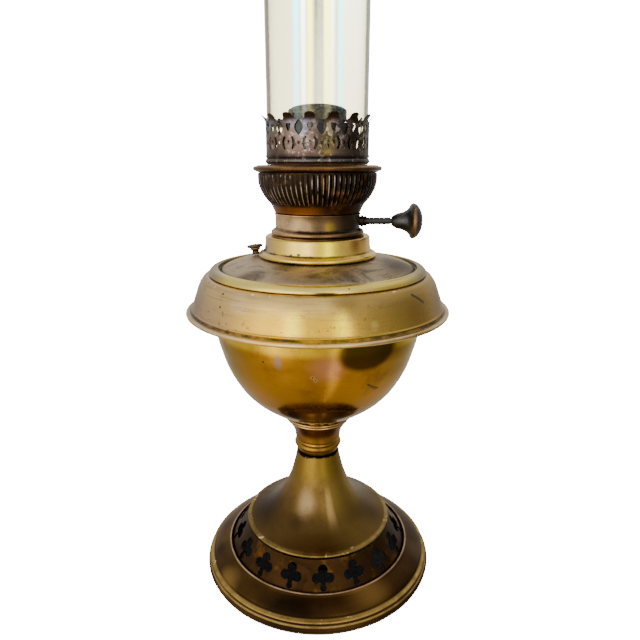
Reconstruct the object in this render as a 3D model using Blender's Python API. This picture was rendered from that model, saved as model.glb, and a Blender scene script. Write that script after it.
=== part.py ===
"""Brass paraffin table lamp with a central draught burner, a drop-in font and a glass chimney.

Units: the constants are millimetres and MM turns them into metres. +Z is up, the lamp's axis is
the Z axis, the foot stands on z = 0, and the wick winder's knob points along +X.
"""
from math import cos, pi, radians, sin, sqrt

import bmesh
import bpy
from mathutils import Matrix, Vector

MM = 0.001
GAP = 0.3                     # clearance between neighbouring pieces
SHEET = 0.8                   # gauge of the spun brass
LARGE = 28                    # facets round the large turned pieces
MEDIUM = 24
SMALL = 16

# Foot and stem
FOOT_RADIUS = 69.0
FOOT_WEIGHT_BORE = 24.0
FOOT_WEIGHT_LOW_Z = 0.8
FOOT_WEIGHT_HIGH_Z = 3.8
FLANGE_INNER_RADIUS = 54.3
FLANGE_INNER_Z = 14.2
FLARE_LIP_RADIUS = 43.7
FLARE_LIP_Z = 28.4
STEM_TOP_RADIUS = 12.9
STEM_TOP_Z = 72.0
CLUB_COUNT = 17
CLUB_OFFSET_DEG = 3.5
AIR_TUBE_RADIUS = 8.6
AIR_TUBE_WALL = 1.4
AIR_TUBE_FOOT_Z = 60.0
AIR_TUBE_TOP_Z = 106.0

# Bowl and skirt
SOCKET_TOP_RADIUS = 22.6
SOCKET_TOP_Z = 99.2
BOWL_RADIUS = 57.8
BOWL_TOP_Z = 177.0
SKIRT_RIM_RADIUS = 72.5
SKIRT_RIM_Z = 161.2
SKIRT_TOP_RADIUS = 59.3
SKIRT_TOP_Z = 181.2

# Font
FONT_FOOT_Z = 107.0
DOME_RIM_RADIUS = 54.0
DOME_RIM_Z = 185.0
COLLAR_FLANGE_RADIUS = 32.1
COLLAR_FLANGE_Z = 190.2
COLLAR_RADIUS = 28.4
COLLAR_TOP_Z = 201.5
COLLAR_BORE = 24.6
FILLER_OFFSET = 34.7          # distance of the filler's foot from the lamp's axis
FILLER_FOOT_Z = 189.6
FILLER_AZIMUTH_DEG = 171.5    # from +X towards +Y
FILLER_TILT_DEG = 7.0
FILLER_BORE = 1.5
CAP_RADIUS = 4.5

# Burner
DRAUGHT_TUBE_RADIUS = 14.4
DRAUGHT_TUBE_TOP_Z = 258.0
DRAUGHT_TUBE_FOOT_Z = 104.5
WICK_TUBE_BORE = 17.6
WICK_TUBE_GAUGE = 0.7
WICK_TUBE_FOOT_Z = 209.5
BURNER_SEAT_Z = 202.0
NECK_RADIUS = 22.9
NECK_TOP_Z = 213.4
BASKET_RADIUS = 31.3
BASKET_SLOTS = 30
RIM_RADIUS = 33.9
RIM_TOP_Z = 237.9
RIM_BORE = 23.0
RIM_FOOT_Z = 234.3
AIR_PLATE_Z = 223.0
AIR_PLATE_RADIUS = 27.4
AIR_HOLES = 8
WINDER_Z = 208.7
WINDER_SHAFT_RADIUS = 1.9
KNOB_RADIUS = 9.6
PINION_RADIUS = 3.2
PINION_TEETH = 8
PINION_X = 20.0
PINION_WIDTH = 1.8
CARRIER_Z = 194.4
CARRIER_HEIGHT = 2.0
RACK_TEETH = 7
WICK_FOOT_Z = 120.0
WICK_TOP_Z = 249.6

# Gallery and chimney
GALLERY_RADIUS = 26.8
GALLERY_FOOT_Z = 238.3
GALLERY_FINGERS = 15
GALLERY_GAUGE = 0.45
GALLERY_PHASE_DEG = -7.4
CHIMNEY_RADIUS = 26.0
CHIMNEY_WALL = 1.8
CHIMNEY_FOOT_Z = 239.4
CHIMNEY_LENGTH = 240.0
SPREADER_RADIUS = 15.0
SPREADER_FOOT_Z = 246.0


# ---------------------------------------------------------------- materials

def metal(name, colour, roughness):
    """Principled metal of one colour and roughness."""
    return principled(name, colour, roughness, metallic=1.0)


def principled(name, colour, roughness, metallic=0.0, transmission=0.0):
    """Principled BSDF material."""
    material = bpy.data.materials.new(name)
    material.use_nodes = True
    shader = material.node_tree.nodes["Principled BSDF"]
    shader.inputs["Base Color"].default_value = (*colour, 1.0)
    shader.inputs["Roughness"].default_value = roughness
    shader.inputs["Metallic"].default_value = metallic
    shader.inputs["Transmission Weight"].default_value = transmission
    material.diffuse_color = (*colour, 1.0)
    return material


# ---------------------------------------------------------------- outlines, in millimetres

def arc(centre_r, centre_z, radius, start_deg, end_deg, steps):
    """Points on a circular arc of a section, angles measured from outward towards up."""
    angles = [radians(start_deg + (end_deg - start_deg) * i / steps) for i in range(steps + 1)]
    return [(centre_r + radius * cos(a), centre_z + radius * sin(a)) for a in angles]


def curve(points, steps):
    """Smooth curve that passes through every given point, by Catmull-Rom interpolation."""
    ends = [points[0]] + list(points) + [points[-1]]
    line = []
    for before, start, end, after in zip(ends, ends[1:], ends[2:], ends[3:]):
        for i in range(steps):
            t = i / steps
            line.append(tuple(
                0.5 * (2 * q + (r - p) * t + (2 * p - 5 * q + 4 * r - s) * t ** 2
                       + (3 * q - p - 3 * r + s) * t ** 3)
                for p, q, r, s in zip(before, start, end, after)))
    return line + [points[-1]]


def offset(line, distance):
    """Line moved sideways by a distance, to the left of its own direction."""
    moved = []
    for i, point in enumerate(line):
        normals = []
        for a, b in ((i - 1, i), (i, i + 1)):
            if a >= 0 and b < len(line):
                step = Vector((line[b][0] - line[a][0], line[b][1] - line[a][1])).normalized()
                normals.append(Vector((-step.y, step.x)))
        normal = sum(normals, Vector((0, 0))).normalized()
        reach = distance / max(normal.dot(normals[0]), 0.5)
        moved.append((point[0] + normal.x * reach, point[1] + normal.y * reach))
    return moved


def sheet(line, gauge=SHEET):
    """Closed section of spun sheet metal whose outer face is the line."""
    return line + offset(line, gauge)[::-1]


# ---------------------------------------------------------------- solids

def finish_object(name, mesh, material, parent=None, location=(0, 0, 0), rotation=None, smooth_deg=35):
    """Object from a mesh in its own coordinates, placed in millimetres under its parent."""
    mesh.materials.append(material)
    mesh.shade_smooth()
    mesh.set_sharp_from_angle(angle=radians(smooth_deg))
    obj = bpy.data.objects.new(name, mesh)
    bpy.context.scene.collection.objects.link(obj)
    obj.location = Vector(location) * MM
    if rotation is not None:
        obj.rotation_euler = rotation
    if parent is not None:
        obj.parent = parent
        obj.matrix_parent_inverse = Matrix.Translation(-parent.location)
    return obj


def mesh_from(bm, name):
    """Mesh datablock from a closed bmesh, faces pointing out."""
    bmesh.ops.remove_doubles(bm, verts=bm.verts, dist=1e-6)
    bmesh.ops.recalc_face_normals(bm, faces=bm.faces)
    mesh = bpy.data.meshes.new(name)
    bm.to_mesh(mesh)
    bm.free()
    return mesh


def turned_mesh(name, section, segments, seat_z=0.0):
    """Mesh turned about Z from a section of (radius, height) points, heights less seat_z.

    A section whose ends lie on the axis gives a solid disc or knob, any other one a ring.
    """
    bm = bmesh.new()
    verts = [bm.verts.new((r * MM, 0, (z - seat_z) * MM)) for r, z in section]
    on_axis = section[0][0] == 0 and section[-1][0] == 0
    pairs = list(zip(verts, verts[1:])) + ([] if on_axis else [(verts[-1], verts[0])])
    edges = [bm.edges.new(pair) for pair in pairs]
    bmesh.ops.spin(bm, geom=verts + edges, cent=(0, 0, 0), axis=(0, 0, 1), angle=2 * pi,
                   steps=segments, use_duplicate=False)
    return mesh_from(bm, name)


def turned(name, section, segments, material, parent=None, seat_z=0.0):
    """Turned piece on the lamp's axis, with its origin at height seat_z."""
    mesh = turned_mesh(name, section, segments, seat_z)
    return finish_object(name, mesh, material, parent, (0, 0, seat_z))


def prism(bm, outline, place, depth):
    """Closed prism of a flat outline in a bmesh; place maps (u, v, w) to a point in metres."""
    front = [bm.verts.new(place(u, v, 0)) for u, v in outline]
    back = [bm.verts.new(place(u, v, depth)) for u, v in outline]
    bm.faces.new(front)
    bm.faces.new(back[::-1])
    for i in range(len(outline)):
        j = (i + 1) % len(outline)
        bm.faces.new((front[j], front[i], back[i], back[j]))


def cut(target, cutters):
    """Boolean cut of every closed shell in a cutter bmesh, in the target's own coordinates."""
    mesh = mesh_from(cutters, target.name + "_cutter")
    cutter = bpy.data.objects.new(target.name + "_cutter", mesh)
    bpy.context.scene.collection.objects.link(cutter)
    cutter.parent = target
    cutter.hide_render = True
    cutter.display_type = "WIRE"
    modifier = target.modifiers.new("pierce", "BOOLEAN")
    modifier.operation = "DIFFERENCE"
    modifier.object = cutter
    modifier.solver = "EXACT"


def radial_place(azimuth, radius, height, slope=0.0):
    """Placement for a cutter that points outwards at an azimuth: u across, v up, w outwards."""
    out = Vector((sin(azimuth), -cos(azimuth), 0))
    across = Vector((cos(azimuth), sin(azimuth), 0))
    up = Vector((0, 0, 1)) * cos(slope) - out * sin(slope)
    outward = out * cos(slope) + Vector((0, 0, 1)) * sin(slope)
    base = out * radius + Vector((0, 0, height))
    return lambda u, v, w: (base + across * u + up * v + outward * w) * MM


def empty(name, location):
    """Empty on a joint's axis that carries the pieces of one moving body."""
    obj = bpy.data.objects.new(name, None)
    obj.location = Vector(location) * MM
    bpy.context.scene.collection.objects.link(obj)
    return obj


# ---------------------------------------------------------------- foot and stem

def club_outline():
    """Outline of a playing-card club with its stalk down, centred between its lobes."""
    top = arc(0, 3.4, 2.8, -30, 210, 4)
    left = arc(-3.7, -0.5, 2.8, 75, 300, 4)
    stalk = [(-1.7, -6.6), (1.7, -6.6)]
    right = [(-u, v) for u, v in reversed(left)]
    return top + left + stalk + right


def base_flange(material):
    """Wide foot with a rolled hem, a bead above it and a convex shoulder."""
    hem = [(FOOT_RADIUS - 3.2, 0), (FOOT_RADIUS - 0.7, 0)]
    hem += arc(FOOT_RADIUS - 2.3, 2.4, 2.3, -20, 60, 3)
    bead = arc(FOOT_RADIUS - 2.8, 5.9, 0.9, -30, 90, 2)
    top = [(FOOT_RADIUS - 4.5, 7.8), (FOOT_RADIUS - 6.6, 10.2), (FOOT_RADIUS - 10.2, 12.0),
           (FLANGE_INNER_RADIUS, FLANGE_INNER_Z)]
    under = [(FLANGE_INNER_RADIUS, FLANGE_INNER_Z - 1.2), (FOOT_RADIUS - 8.4, 9.8),
             (FOOT_RADIUS - 5.6, 7.4), (FOOT_RADIUS - 4.2, 4.2)]
    return turned("base_flange", hem + bead + top + under, LARGE, material)


def foot_weight(material):
    """Cast-iron ring that lies in the foot, open in the middle for the air."""
    outer = FOOT_RADIUS - 4.8
    section = [(FOOT_WEIGHT_BORE, FOOT_WEIGHT_LOW_Z), (outer, FOOT_WEIGHT_LOW_Z),
               (outer - 0.6, FOOT_WEIGHT_HIGH_Z), (FOOT_WEIGHT_BORE, FOOT_WEIGHT_HIGH_Z)]
    return turned("foot_weight", section, MEDIUM, material)


def pierced_ring(material):
    """Conical air ring between the foot and the flare, pierced with clubs."""
    foot = (FLANGE_INNER_RADIUS - 0.5, FLANGE_INNER_Z - 1.6)
    head = (FLARE_LIP_RADIUS - 0.3, FLARE_LIP_Z - 1.9)
    ring = turned("pierced_ring", sheet([foot, head], 0.7), 2 * CLUB_COUNT, material)
    middle = ((foot[0] + head[0]) / 2, (foot[1] + head[1]) / 2)
    slope = (Vector(foot) - Vector(head)).angle(Vector((0, -1)))
    cutters = bmesh.new()
    for i in range(CLUB_COUNT):
        azimuth = radians(CLUB_OFFSET_DEG + 360 * i / CLUB_COUNT)
        place = radial_place(azimuth, middle[0] - 4, middle[1] - 4 * sin(slope), slope)
        prism(cutters, club_outline(), place, 8)
    cut(ring, cutters)
    return ring


def stem_cone(material):
    """Trumpet that carries the stem: a rolled lip, a concave flare and a narrow neck."""
    lip = [(FLARE_LIP_RADIUS - 0.9, FLARE_LIP_Z - 1.0)]
    lip += arc(FLARE_LIP_RADIUS - 0.8, FLARE_LIP_Z, 0.8, -30, 90, 2)
    flare = curve([(FLARE_LIP_RADIUS - 2.4, FLARE_LIP_Z + 1.0), (28.0, 36.8), (16.9, 55.5),
                   (STEM_TOP_RADIUS, STEM_TOP_Z)], 2)
    top = [(AIR_TUBE_RADIUS + GAP, STEM_TOP_Z + 0.2)]
    return turned("stem_cone", sheet(lip + flare + top, 0.9), LARGE, material)


def stem_collar(material):
    """Half-round bead between the stem and the socket."""
    bore = AIR_TUBE_RADIUS + GAP
    section = [(bore, 72.9), (12.6, 72.9)] + arc(10.6, 76.9, 3.3, -50, 50, 3) + [(12.6, 80.4), (bore, 80.4)]
    return turned("stem_collar", section, MEDIUM, material)


def socket_cup(material):
    """Flared cup with two ring lines that holds the bowl's foot."""
    bore = AIR_TUBE_RADIUS + GAP
    outer = [(13.1, 80.8), (13.6, 83.6), (14.6, 87.5), (16.6, 90.8), (18.4, 93.6), (20.4, 95.9)]
    outer += [(SOCKET_TOP_RADIUS, SOCKET_TOP_Z - 0.5), (SOCKET_TOP_RADIUS - 0.6, SOCKET_TOP_Z)]
    inner = [(SOCKET_TOP_RADIUS - 3.0, 97.6), (15.6, 93.6), (bore, 93.6)]
    return turned("socket_cup", outer + inner + [(bore, 80.8)], MEDIUM, material)


def air_tube(material):
    """Hollow threaded tube that clamps the foot, the stem and the bowl, and feeds the air."""
    bore = AIR_TUBE_RADIUS - AIR_TUBE_WALL
    section = [(AIR_TUBE_RADIUS, AIR_TUBE_FOOT_Z), (AIR_TUBE_RADIUS, AIR_TUBE_TOP_Z),
               (bore, AIR_TUBE_TOP_Z), (bore, AIR_TUBE_FOOT_Z)]
    return turned("air_tube", section, SMALL, material)


def ring_nut(name, low_z, high_z, across_flats, material):
    """Hexagon nut on the air tube."""
    bm = bmesh.new()
    bore = AIR_TUBE_RADIUS + GAP
    rings = []
    for z in (low_z, high_z):
        outer = [(across_flats / sqrt(3) * cos(radians(a)), across_flats / sqrt(3) * sin(radians(a)))
                 for a in range(0, 360, 60)]
        inner = [(bore * cos(radians(a)), bore * sin(radians(a))) for a in range(0, 360, 15)]
        rings.append([[bm.verts.new((x * MM, y * MM, (z - low_z) * MM)) for x, y in ring]
                      for ring in (outer, inner)])
    for level in rings:
        edges = []
        for ring in level:
            for a, b in zip(ring, ring[1:] + ring[:1]):
                edges.append(bm.edges.get((a, b)) or bm.edges.new((a, b)))
        bmesh.ops.bridge_loops(bm, edges=edges)
    for lower, upper in zip(rings[0], rings[1]):
        for i in range(len(lower)):
            j = (i + 1) % len(lower)
            bm.faces.new((lower[i], lower[j], upper[j], upper[i]))
    mesh = mesh_from(bm, name)
    return finish_object(name, mesh, material, None, (0, 0, low_z))


# ---------------------------------------------------------------- bowl and skirt

def bowl(material):
    """Spun bowl that the font drops into, open at the top, bolted through its bottom."""
    outer = [(AIR_TUBE_RADIUS + GAP, SOCKET_TOP_Z + 0.4), (SOCKET_TOP_RADIUS + 0.6, SOCKET_TOP_Z + 0.4)]
    outer += curve([(28.1, 102.1), (41.0, 112.9), (49.9, 126.8), (55.5, 143.5), (BOWL_RADIUS, 166.0)], 2)
    outer += [(BOWL_RADIUS, BOWL_TOP_Z)]
    return turned("bowl", sheet(outer, 0.9), LARGE, material)


def skirt(material):
    """Flared skirt round the bowl's mouth with a turned-out, rolled rim."""
    shoulder = [(SKIRT_TOP_RADIUS, SKIRT_TOP_Z), (61.0, 181.0), (62.8, 179.2), (64.4, 176.8),
                (65.8, 173.3), (67.2, 169.0), (68.1, 166.2)]
    rim = [(69.1, 164.0), (70.4, 162.5)] + arc(SKIRT_RIM_RADIUS - 1.1, SKIRT_RIM_Z, 1.1, 60, -120, 3)
    seat = [(BOWL_RADIUS + GAP, SKIRT_TOP_Z - 2.6), (BOWL_RADIUS + GAP, SKIRT_TOP_Z)]
    line = (seat + shoulder + rim)[::-1]
    inner = [(70.2, 161.6), (68.2, 163.6), (67.1, 166.2), (65.0, 172.6), (62.0, 178.6), (59.0, 180.0)]
    return turned("skirt", line + inner[::-1], LARGE, material)


# ---------------------------------------------------------------- font

def font_body(material, parent):
    """Oil reservoir that hangs in the bowl, open at the top and bored for the draught tube."""
    outer = [(DRAUGHT_TUBE_RADIUS + GAP, FONT_FOOT_Z), (30.0, FONT_FOOT_Z + 0.6)]
    outer += [(36.0, 111.0), (43.0, 120.0), (49.0, 132.0), (52.4, 146.0), (53.4, 160.0), (53.4, 182.4)]
    return turned("font_body", sheet(outer), MEDIUM, material, parent, FONT_FOOT_Z)


def font_dome(material, parent):
    """Top of the font: shoulder ring that rests on the skirt, a groove and a shallow dome."""
    ring = [(SKIRT_TOP_RADIUS - 0.6, SKIRT_TOP_Z + 0.5), (SKIRT_TOP_RADIUS, SKIRT_TOP_Z + 0.9)]
    ring += [(58.4, 183.7), (57.2, 184.8), (55.6, DOME_RIM_Z + 0.2), (DOME_RIM_RADIUS, DOME_RIM_Z - 0.1)]
    groove = [(DOME_RIM_RADIUS - 0.4, DOME_RIM_Z - 1.7), (DOME_RIM_RADIUS - 1.2, DOME_RIM_Z - 1.8)]
    dome = [(51.4, 184.8), (48.0, 186.2), (40.0, 188.3), (33.5, 189.8), (COLLAR_BORE + 0.4, 189.8)]
    under = [(COLLAR_BORE + 0.4, 189.0), (33.4, 189.0), (47.8, 185.4), (52.0, 182.7), (56.4, 182.7),
             (57.6, SKIRT_TOP_Z + 0.5)]
    piece = turned("font_dome", ring + groove + dome + under, LARGE, material, parent, DOME_RIM_Z)
    foot, axis = filler_frame()
    turn = axis.to_track_quat("Z", "Y").to_matrix()
    cutters = bmesh.new()
    hole = arc(0, 0, FILLER_BORE, 0, 315, 7)
    seat = foot - Vector((0, 0, DOME_RIM_Z))
    prism(cutters, hole, lambda u, v, w: (turn @ Vector((u, v, w - 3)) + seat) * MM, 5)
    cut(piece, cutters)
    return piece


def font_collar(material, parent):
    """Threaded collar on the dome that the burner screws into."""
    section = [(COLLAR_FLANGE_RADIUS - 1.0, COLLAR_FLANGE_Z)]
    section += arc(COLLAR_FLANGE_RADIUS - 1.3, COLLAR_FLANGE_Z + 1.4, 1.3, -40, 70, 2)
    section += [(29.0, 193.6), (COLLAR_RADIUS, COLLAR_TOP_Z - 1.3), (COLLAR_RADIUS - 1.2, COLLAR_TOP_Z)]
    section += [(COLLAR_BORE + 0.6, COLLAR_TOP_Z - 0.2), (COLLAR_BORE, COLLAR_TOP_Z - 1.4)]
    section += [(COLLAR_BORE, COLLAR_FLANGE_Z)]
    return turned("font_collar", section, MEDIUM, material, parent, COLLAR_FLANGE_Z)


def filler_frame():
    """Axis of the tilted filler: its foot on the dome and its direction."""
    azimuth = radians(FILLER_AZIMUTH_DEG)
    out = Vector((cos(azimuth), sin(azimuth), 0))
    tilt = radians(FILLER_TILT_DEG)
    axis = Vector((0, 0, 1)) * cos(tilt) + out * sin(tilt)
    foot = out * FILLER_OFFSET + Vector((0, 0, FILLER_FOOT_Z))
    return foot, axis


def on_filler(name, section, segments, material, parent):
    """Turned piece on the filler's tilted axis, heights measured from the dome."""
    foot, axis = filler_frame()
    rotation = axis.to_track_quat("Z", "Y").to_euler()
    return finish_object(name, turned_mesh(name, section, segments), material, parent, foot, rotation)


def filler_neck(material, parent):
    """Short filler tube that stands through the dome."""
    section = [(2.4, 0.4), (2.1, 1.2), (2.1, 2.5), (2.9, 2.9), (2.9, 3.3)]
    section += [(FILLER_BORE, 3.3), (FILLER_BORE, 0.4)]
    return on_filler("filler_neck", section, 16, material, parent)


def filler_cap(material, parent):
    """Screw cap of the filler: a thin rolled disc on a threaded plug."""
    plug = FILLER_BORE - GAP
    section = [(0, 1.0), (plug, 1.0), (plug, 4.0), (CAP_RADIUS - 0.7, 4.0), (CAP_RADIUS, 4.6),
               (CAP_RADIUS - 0.1, 5.3), (CAP_RADIUS - 0.9, 5.7), (0, 5.8)]
    return on_filler("filler_cap", section, SMALL, material, parent)


def cap_washer(material, parent):
    """Cork washer under the cap's disc."""
    section = [(FILLER_BORE, 3.45), (2.8, 3.45), (2.8, 3.85), (FILLER_BORE, 3.85)]
    return on_filler("cap_washer", section, 16, material, parent)


def draught_tube(material, parent):
    """Central tube from the font's bottom to the flame, which is also the inner wick tube."""
    inner = DRAUGHT_TUBE_RADIUS - 0.8
    section = [(DRAUGHT_TUBE_RADIUS, DRAUGHT_TUBE_FOOT_Z), (DRAUGHT_TUBE_RADIUS, DRAUGHT_TUBE_TOP_Z),
               (inner, DRAUGHT_TUBE_TOP_Z), (inner, DRAUGHT_TUBE_FOOT_Z)]
    return turned("draught_tube", section, MEDIUM, material, parent, DRAUGHT_TUBE_FOOT_Z)


# ---------------------------------------------------------------- burner

def burner_neck(material, parent):
    """Burner base: threaded skirt in the collar, a bead above it and the plain neck."""
    thread = [(22.6, 193.0), (23.6, 193.0), (24.2, 194.2), (23.6, 195.4), (24.2, 197.4), (23.6, 199.6)]
    bead = [(23.6, 201.8)] + arc(NECK_RADIUS + 0.8, 203.3, 1.5, -60, 60, 3)
    neck = [(NECK_RADIUS, 205.2), (NECK_RADIUS, NECK_TOP_Z)]
    inner = [(NECK_RADIUS - 0.7, NECK_TOP_Z), (NECK_RADIUS - 0.7, 204.0), (22.6, 202.0)]
    piece = turned("burner_neck", thread + bead + neck + inner, MEDIUM, material, parent, BURNER_SEAT_Z)
    cutters = bmesh.new()
    place = radial_place(pi / 2, 20, WINDER_Z - BURNER_SEAT_Z)
    prism(cutters, arc(0, 0, WINDER_SHAFT_RADIUS + 1.1, 0, 330, 11), place, 6)
    cut(piece, cutters)
    return piece


def basket_line():
    """Outer face of the slotted basket, from its foot to its brim."""
    return [(NECK_RADIUS + 0.2, NECK_TOP_Z + 0.4), (25.7, 219.0), (29.0, 223.6), (30.9, 228.2),
            (BASKET_RADIUS, 232.9), (BASKET_RADIUS, 233.9)]


def basket(material, parent):
    """Air basket with upright slots all round, one facet to each slot and one to each bar."""
    line = basket_line()
    inside = offset(line, 0.5)
    steps = 2 * BASKET_SLOTS
    seat = line[0][1]
    bm = bmesh.new()
    skins = []
    for face in (line, inside):
        skins.append([[bm.verts.new((r * cos(a) * MM, r * sin(a) * MM, (z - seat) * MM))
                       for a in (2 * pi * i / steps for i in range(steps))] for r, z in face])
    outer, inner = skins
    rows = len(line) - 1
    first_slot_row, last_slot_row = 1, rows - 2
    for i in range(steps):
        j = (i + 1) % steps
        slotted = i % 2 == 0
        for k in range(rows):
            open_here = slotted and first_slot_row <= k <= last_slot_row
            if not open_here:
                bm.faces.new((outer[k][i], outer[k][j], outer[k + 1][j], outer[k + 1][i]))
                bm.faces.new((inner[k][j], inner[k][i], inner[k + 1][i], inner[k + 1][j]))
            else:
                bm.faces.new((outer[k][i], inner[k][i], inner[k + 1][i], outer[k + 1][i]))
                bm.faces.new((inner[k][j], outer[k][j], outer[k + 1][j], inner[k + 1][j]))
        bm.faces.new((outer[0][j], outer[0][i], inner[0][i], inner[0][j]))
        bm.faces.new((outer[rows][i], outer[rows][j], inner[rows][j], inner[rows][i]))
        if slotted:
            low, high = first_slot_row, last_slot_row + 1
            bm.faces.new((outer[low][i], outer[low][j], inner[low][j], inner[low][i]))
            bm.faces.new((outer[high][j], outer[high][i], inner[high][i], inner[high][j]))
    return finish_object("basket", mesh_from(bm, "basket"), material, parent, (0, 0, seat))


def basket_rim(material, parent):
    """Rolled brim of the basket, whose flat top is the gallery's seat."""
    roll = 1.8
    section = [(BASKET_RADIUS - 0.6, RIM_FOOT_Z)]
    section += arc(RIM_RADIUS - roll, RIM_FOOT_Z + roll, roll, -60, 90, 4)
    section += [(RIM_BORE, RIM_TOP_Z), (RIM_BORE, RIM_TOP_Z - 0.8), (BASKET_RADIUS - 0.6, RIM_TOP_Z - 0.8)]
    return turned("basket_rim", section, LARGE, material, parent, RIM_FOOT_Z)


def air_plate(material, parent):
    """Perforated plate inside the basket that holds the outer wick tube and spreads the air."""
    inner = WICK_TUBE_BORE + WICK_TUBE_GAUGE + GAP
    top = AIR_PLATE_Z + 0.6
    section = [(inner, AIR_PLATE_Z), (AIR_PLATE_RADIUS, AIR_PLATE_Z), (AIR_PLATE_RADIUS, top), (inner, top)]
    piece = turned("air_plate", section, MEDIUM, material, parent, AIR_PLATE_Z)
    cutters = bmesh.new()
    middle = (inner + AIR_PLATE_RADIUS) / 2
    for i in range(AIR_HOLES):
        angle = 2 * pi * (i + 0.5) / AIR_HOLES
        hole = arc(middle * cos(angle), middle * sin(angle), 2.2, 0, 315, 7)
        prism(cutters, hole, lambda u, v, w: Vector((u, v, w - 1)) * MM, 3)
    cut(piece, cutters)
    return piece


def outer_wick_tube(material, parent):
    """Outer wick tube, held by the air plate; the wick's carrier passes below its end."""
    bore = WICK_TUBE_BORE
    outer = bore + WICK_TUBE_GAUGE
    section = [(outer, WICK_TUBE_FOOT_Z), (outer, DRAUGHT_TUBE_TOP_Z),
               (bore, DRAUGHT_TUBE_TOP_Z), (bore, WICK_TUBE_FOOT_Z)]
    return turned("outer_wick_tube", section, MEDIUM, material, parent, WICK_TUBE_FOOT_Z)


def along_x(name, section, segments, x, material, parent):
    """Turned piece on the winder's axis, which lies along +X, heights measured outwards from x."""
    mesh = turned_mesh(name, section, segments)
    return finish_object(name, mesh, material, parent, (x, 0, WINDER_Z), (0, pi / 2, 0))


def shaft_bush(material, parent):
    """Ferrule in the neck's wall that guides the winder's shaft."""
    bore = WINDER_SHAFT_RADIUS + 0.08
    section = [(bore, 0), (2.7, 0), (2.7, 1.5), (3.3, 1.5), (3.3, 2.6), (2.8, 4.7), (bore, 4.7)]
    return along_x("shaft_bush", section, 16, 21.8, material, parent)


def winder_shaft(material, parent):
    """Plain shaft of the wick winder."""
    r = WINDER_SHAFT_RADIUS
    section = [(0, 0), (r * 0.62, 0), (r * 0.62, 2.1), (r, 2.1), (r, 20.2), (r * 0.7, 20.2), (r * 0.7, 25.2),
               (0, 25.2)]
    return along_x("winder_shaft", section, 16, 19.2, material, parent)


def winder_knob(material, parent):
    """Trumpet-shaped knob with a domed face."""
    r = KNOB_RADIUS
    back = [(WINDER_SHAFT_RADIUS * 0.7 + GAP, 0), (2.4, 0)]
    back += [(4.0, 2.8), (5.0, 6.4), (6.8, 8.8), (r - 0.6, 10.3)]
    face = [(r, 11.2), (r - 0.9, 13.2), (6.4, 15.3), (0, 16.6)]
    hole = [(0, 6.4), (WINDER_SHAFT_RADIUS * 0.7 + GAP, 6.4)]
    return along_x("winder_knob", hole + back + face, 24, 39.9, material, parent)


def gear_outline(teeth, pitch, addendum, dedendum):
    """Outline of a small gear with trapezoid teeth, one of them pointing along +Y."""
    points = []
    for i in range(teeth):
        middle = pi / 2 + 2 * pi * i / teeth
        step = 2 * pi / teeth
        for share, radius in ((-0.30, pitch - dedendum), (-0.11, pitch + addendum),
                              (0.11, pitch + addendum), (0.30, pitch - dedendum)):
            angle = middle + share * step
            points.append((radius * cos(angle), radius * sin(angle)))
    return points


def winder_pinion(material, parent):
    """Pinion at the shaft's inner end that drives the wick carrier's rack."""
    outline = gear_outline(PINION_TEETH, PINION_RADIUS, 0.5, 0.8)
    bm = bmesh.new()
    bore = WINDER_SHAFT_RADIUS * 0.62 + 0.12
    count = len(outline)
    hole = [(bore * cos(2 * pi * i / count), bore * sin(2 * pi * i / count)) for i in range(count)]
    turn = min(range(count), key=lambda i: (Vector(hole[i]).normalized()
                                            - Vector(outline[0]).normalized()).length)
    hole = hole[turn:] + hole[:turn]
    rings = [[bm.verts.new(Vector((x, u, v)) * MM) for u, v in ring]
             for x in (-PINION_WIDTH / 2, PINION_WIDTH / 2) for ring in (outline, hole)]
    outer0, inner0, outer1, inner1 = rings
    for i in range(count):
        j = (i + 1) % count
        bm.faces.new((outer0[i], outer0[j], inner0[j], inner0[i]))
        bm.faces.new((outer1[j], outer1[i], inner1[i], inner1[j]))
        bm.faces.new((outer0[j], outer0[i], outer1[i], outer1[j]))
        bm.faces.new((inner0[i], inner0[j], inner1[j], inner1[i]))
    mesh = mesh_from(bm, "winder_pinion")
    return finish_object("winder_pinion", mesh, material, parent, (PINION_X, 0, WINDER_Z))


# ---------------------------------------------------------------- wick

def wick(material, parent):
    """Tubular cotton wick that hangs in the oil and ends just below the wick tubes."""
    inner = SPREADER_RADIUS + 0.4
    outer = WICK_TUBE_BORE - 0.4
    section = [(inner, WICK_FOOT_Z), (outer, WICK_FOOT_Z), (outer, WICK_TOP_Z), (inner, WICK_TOP_Z)]
    return turned("wick", section, MEDIUM, material, parent, WICK_FOOT_Z)


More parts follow.
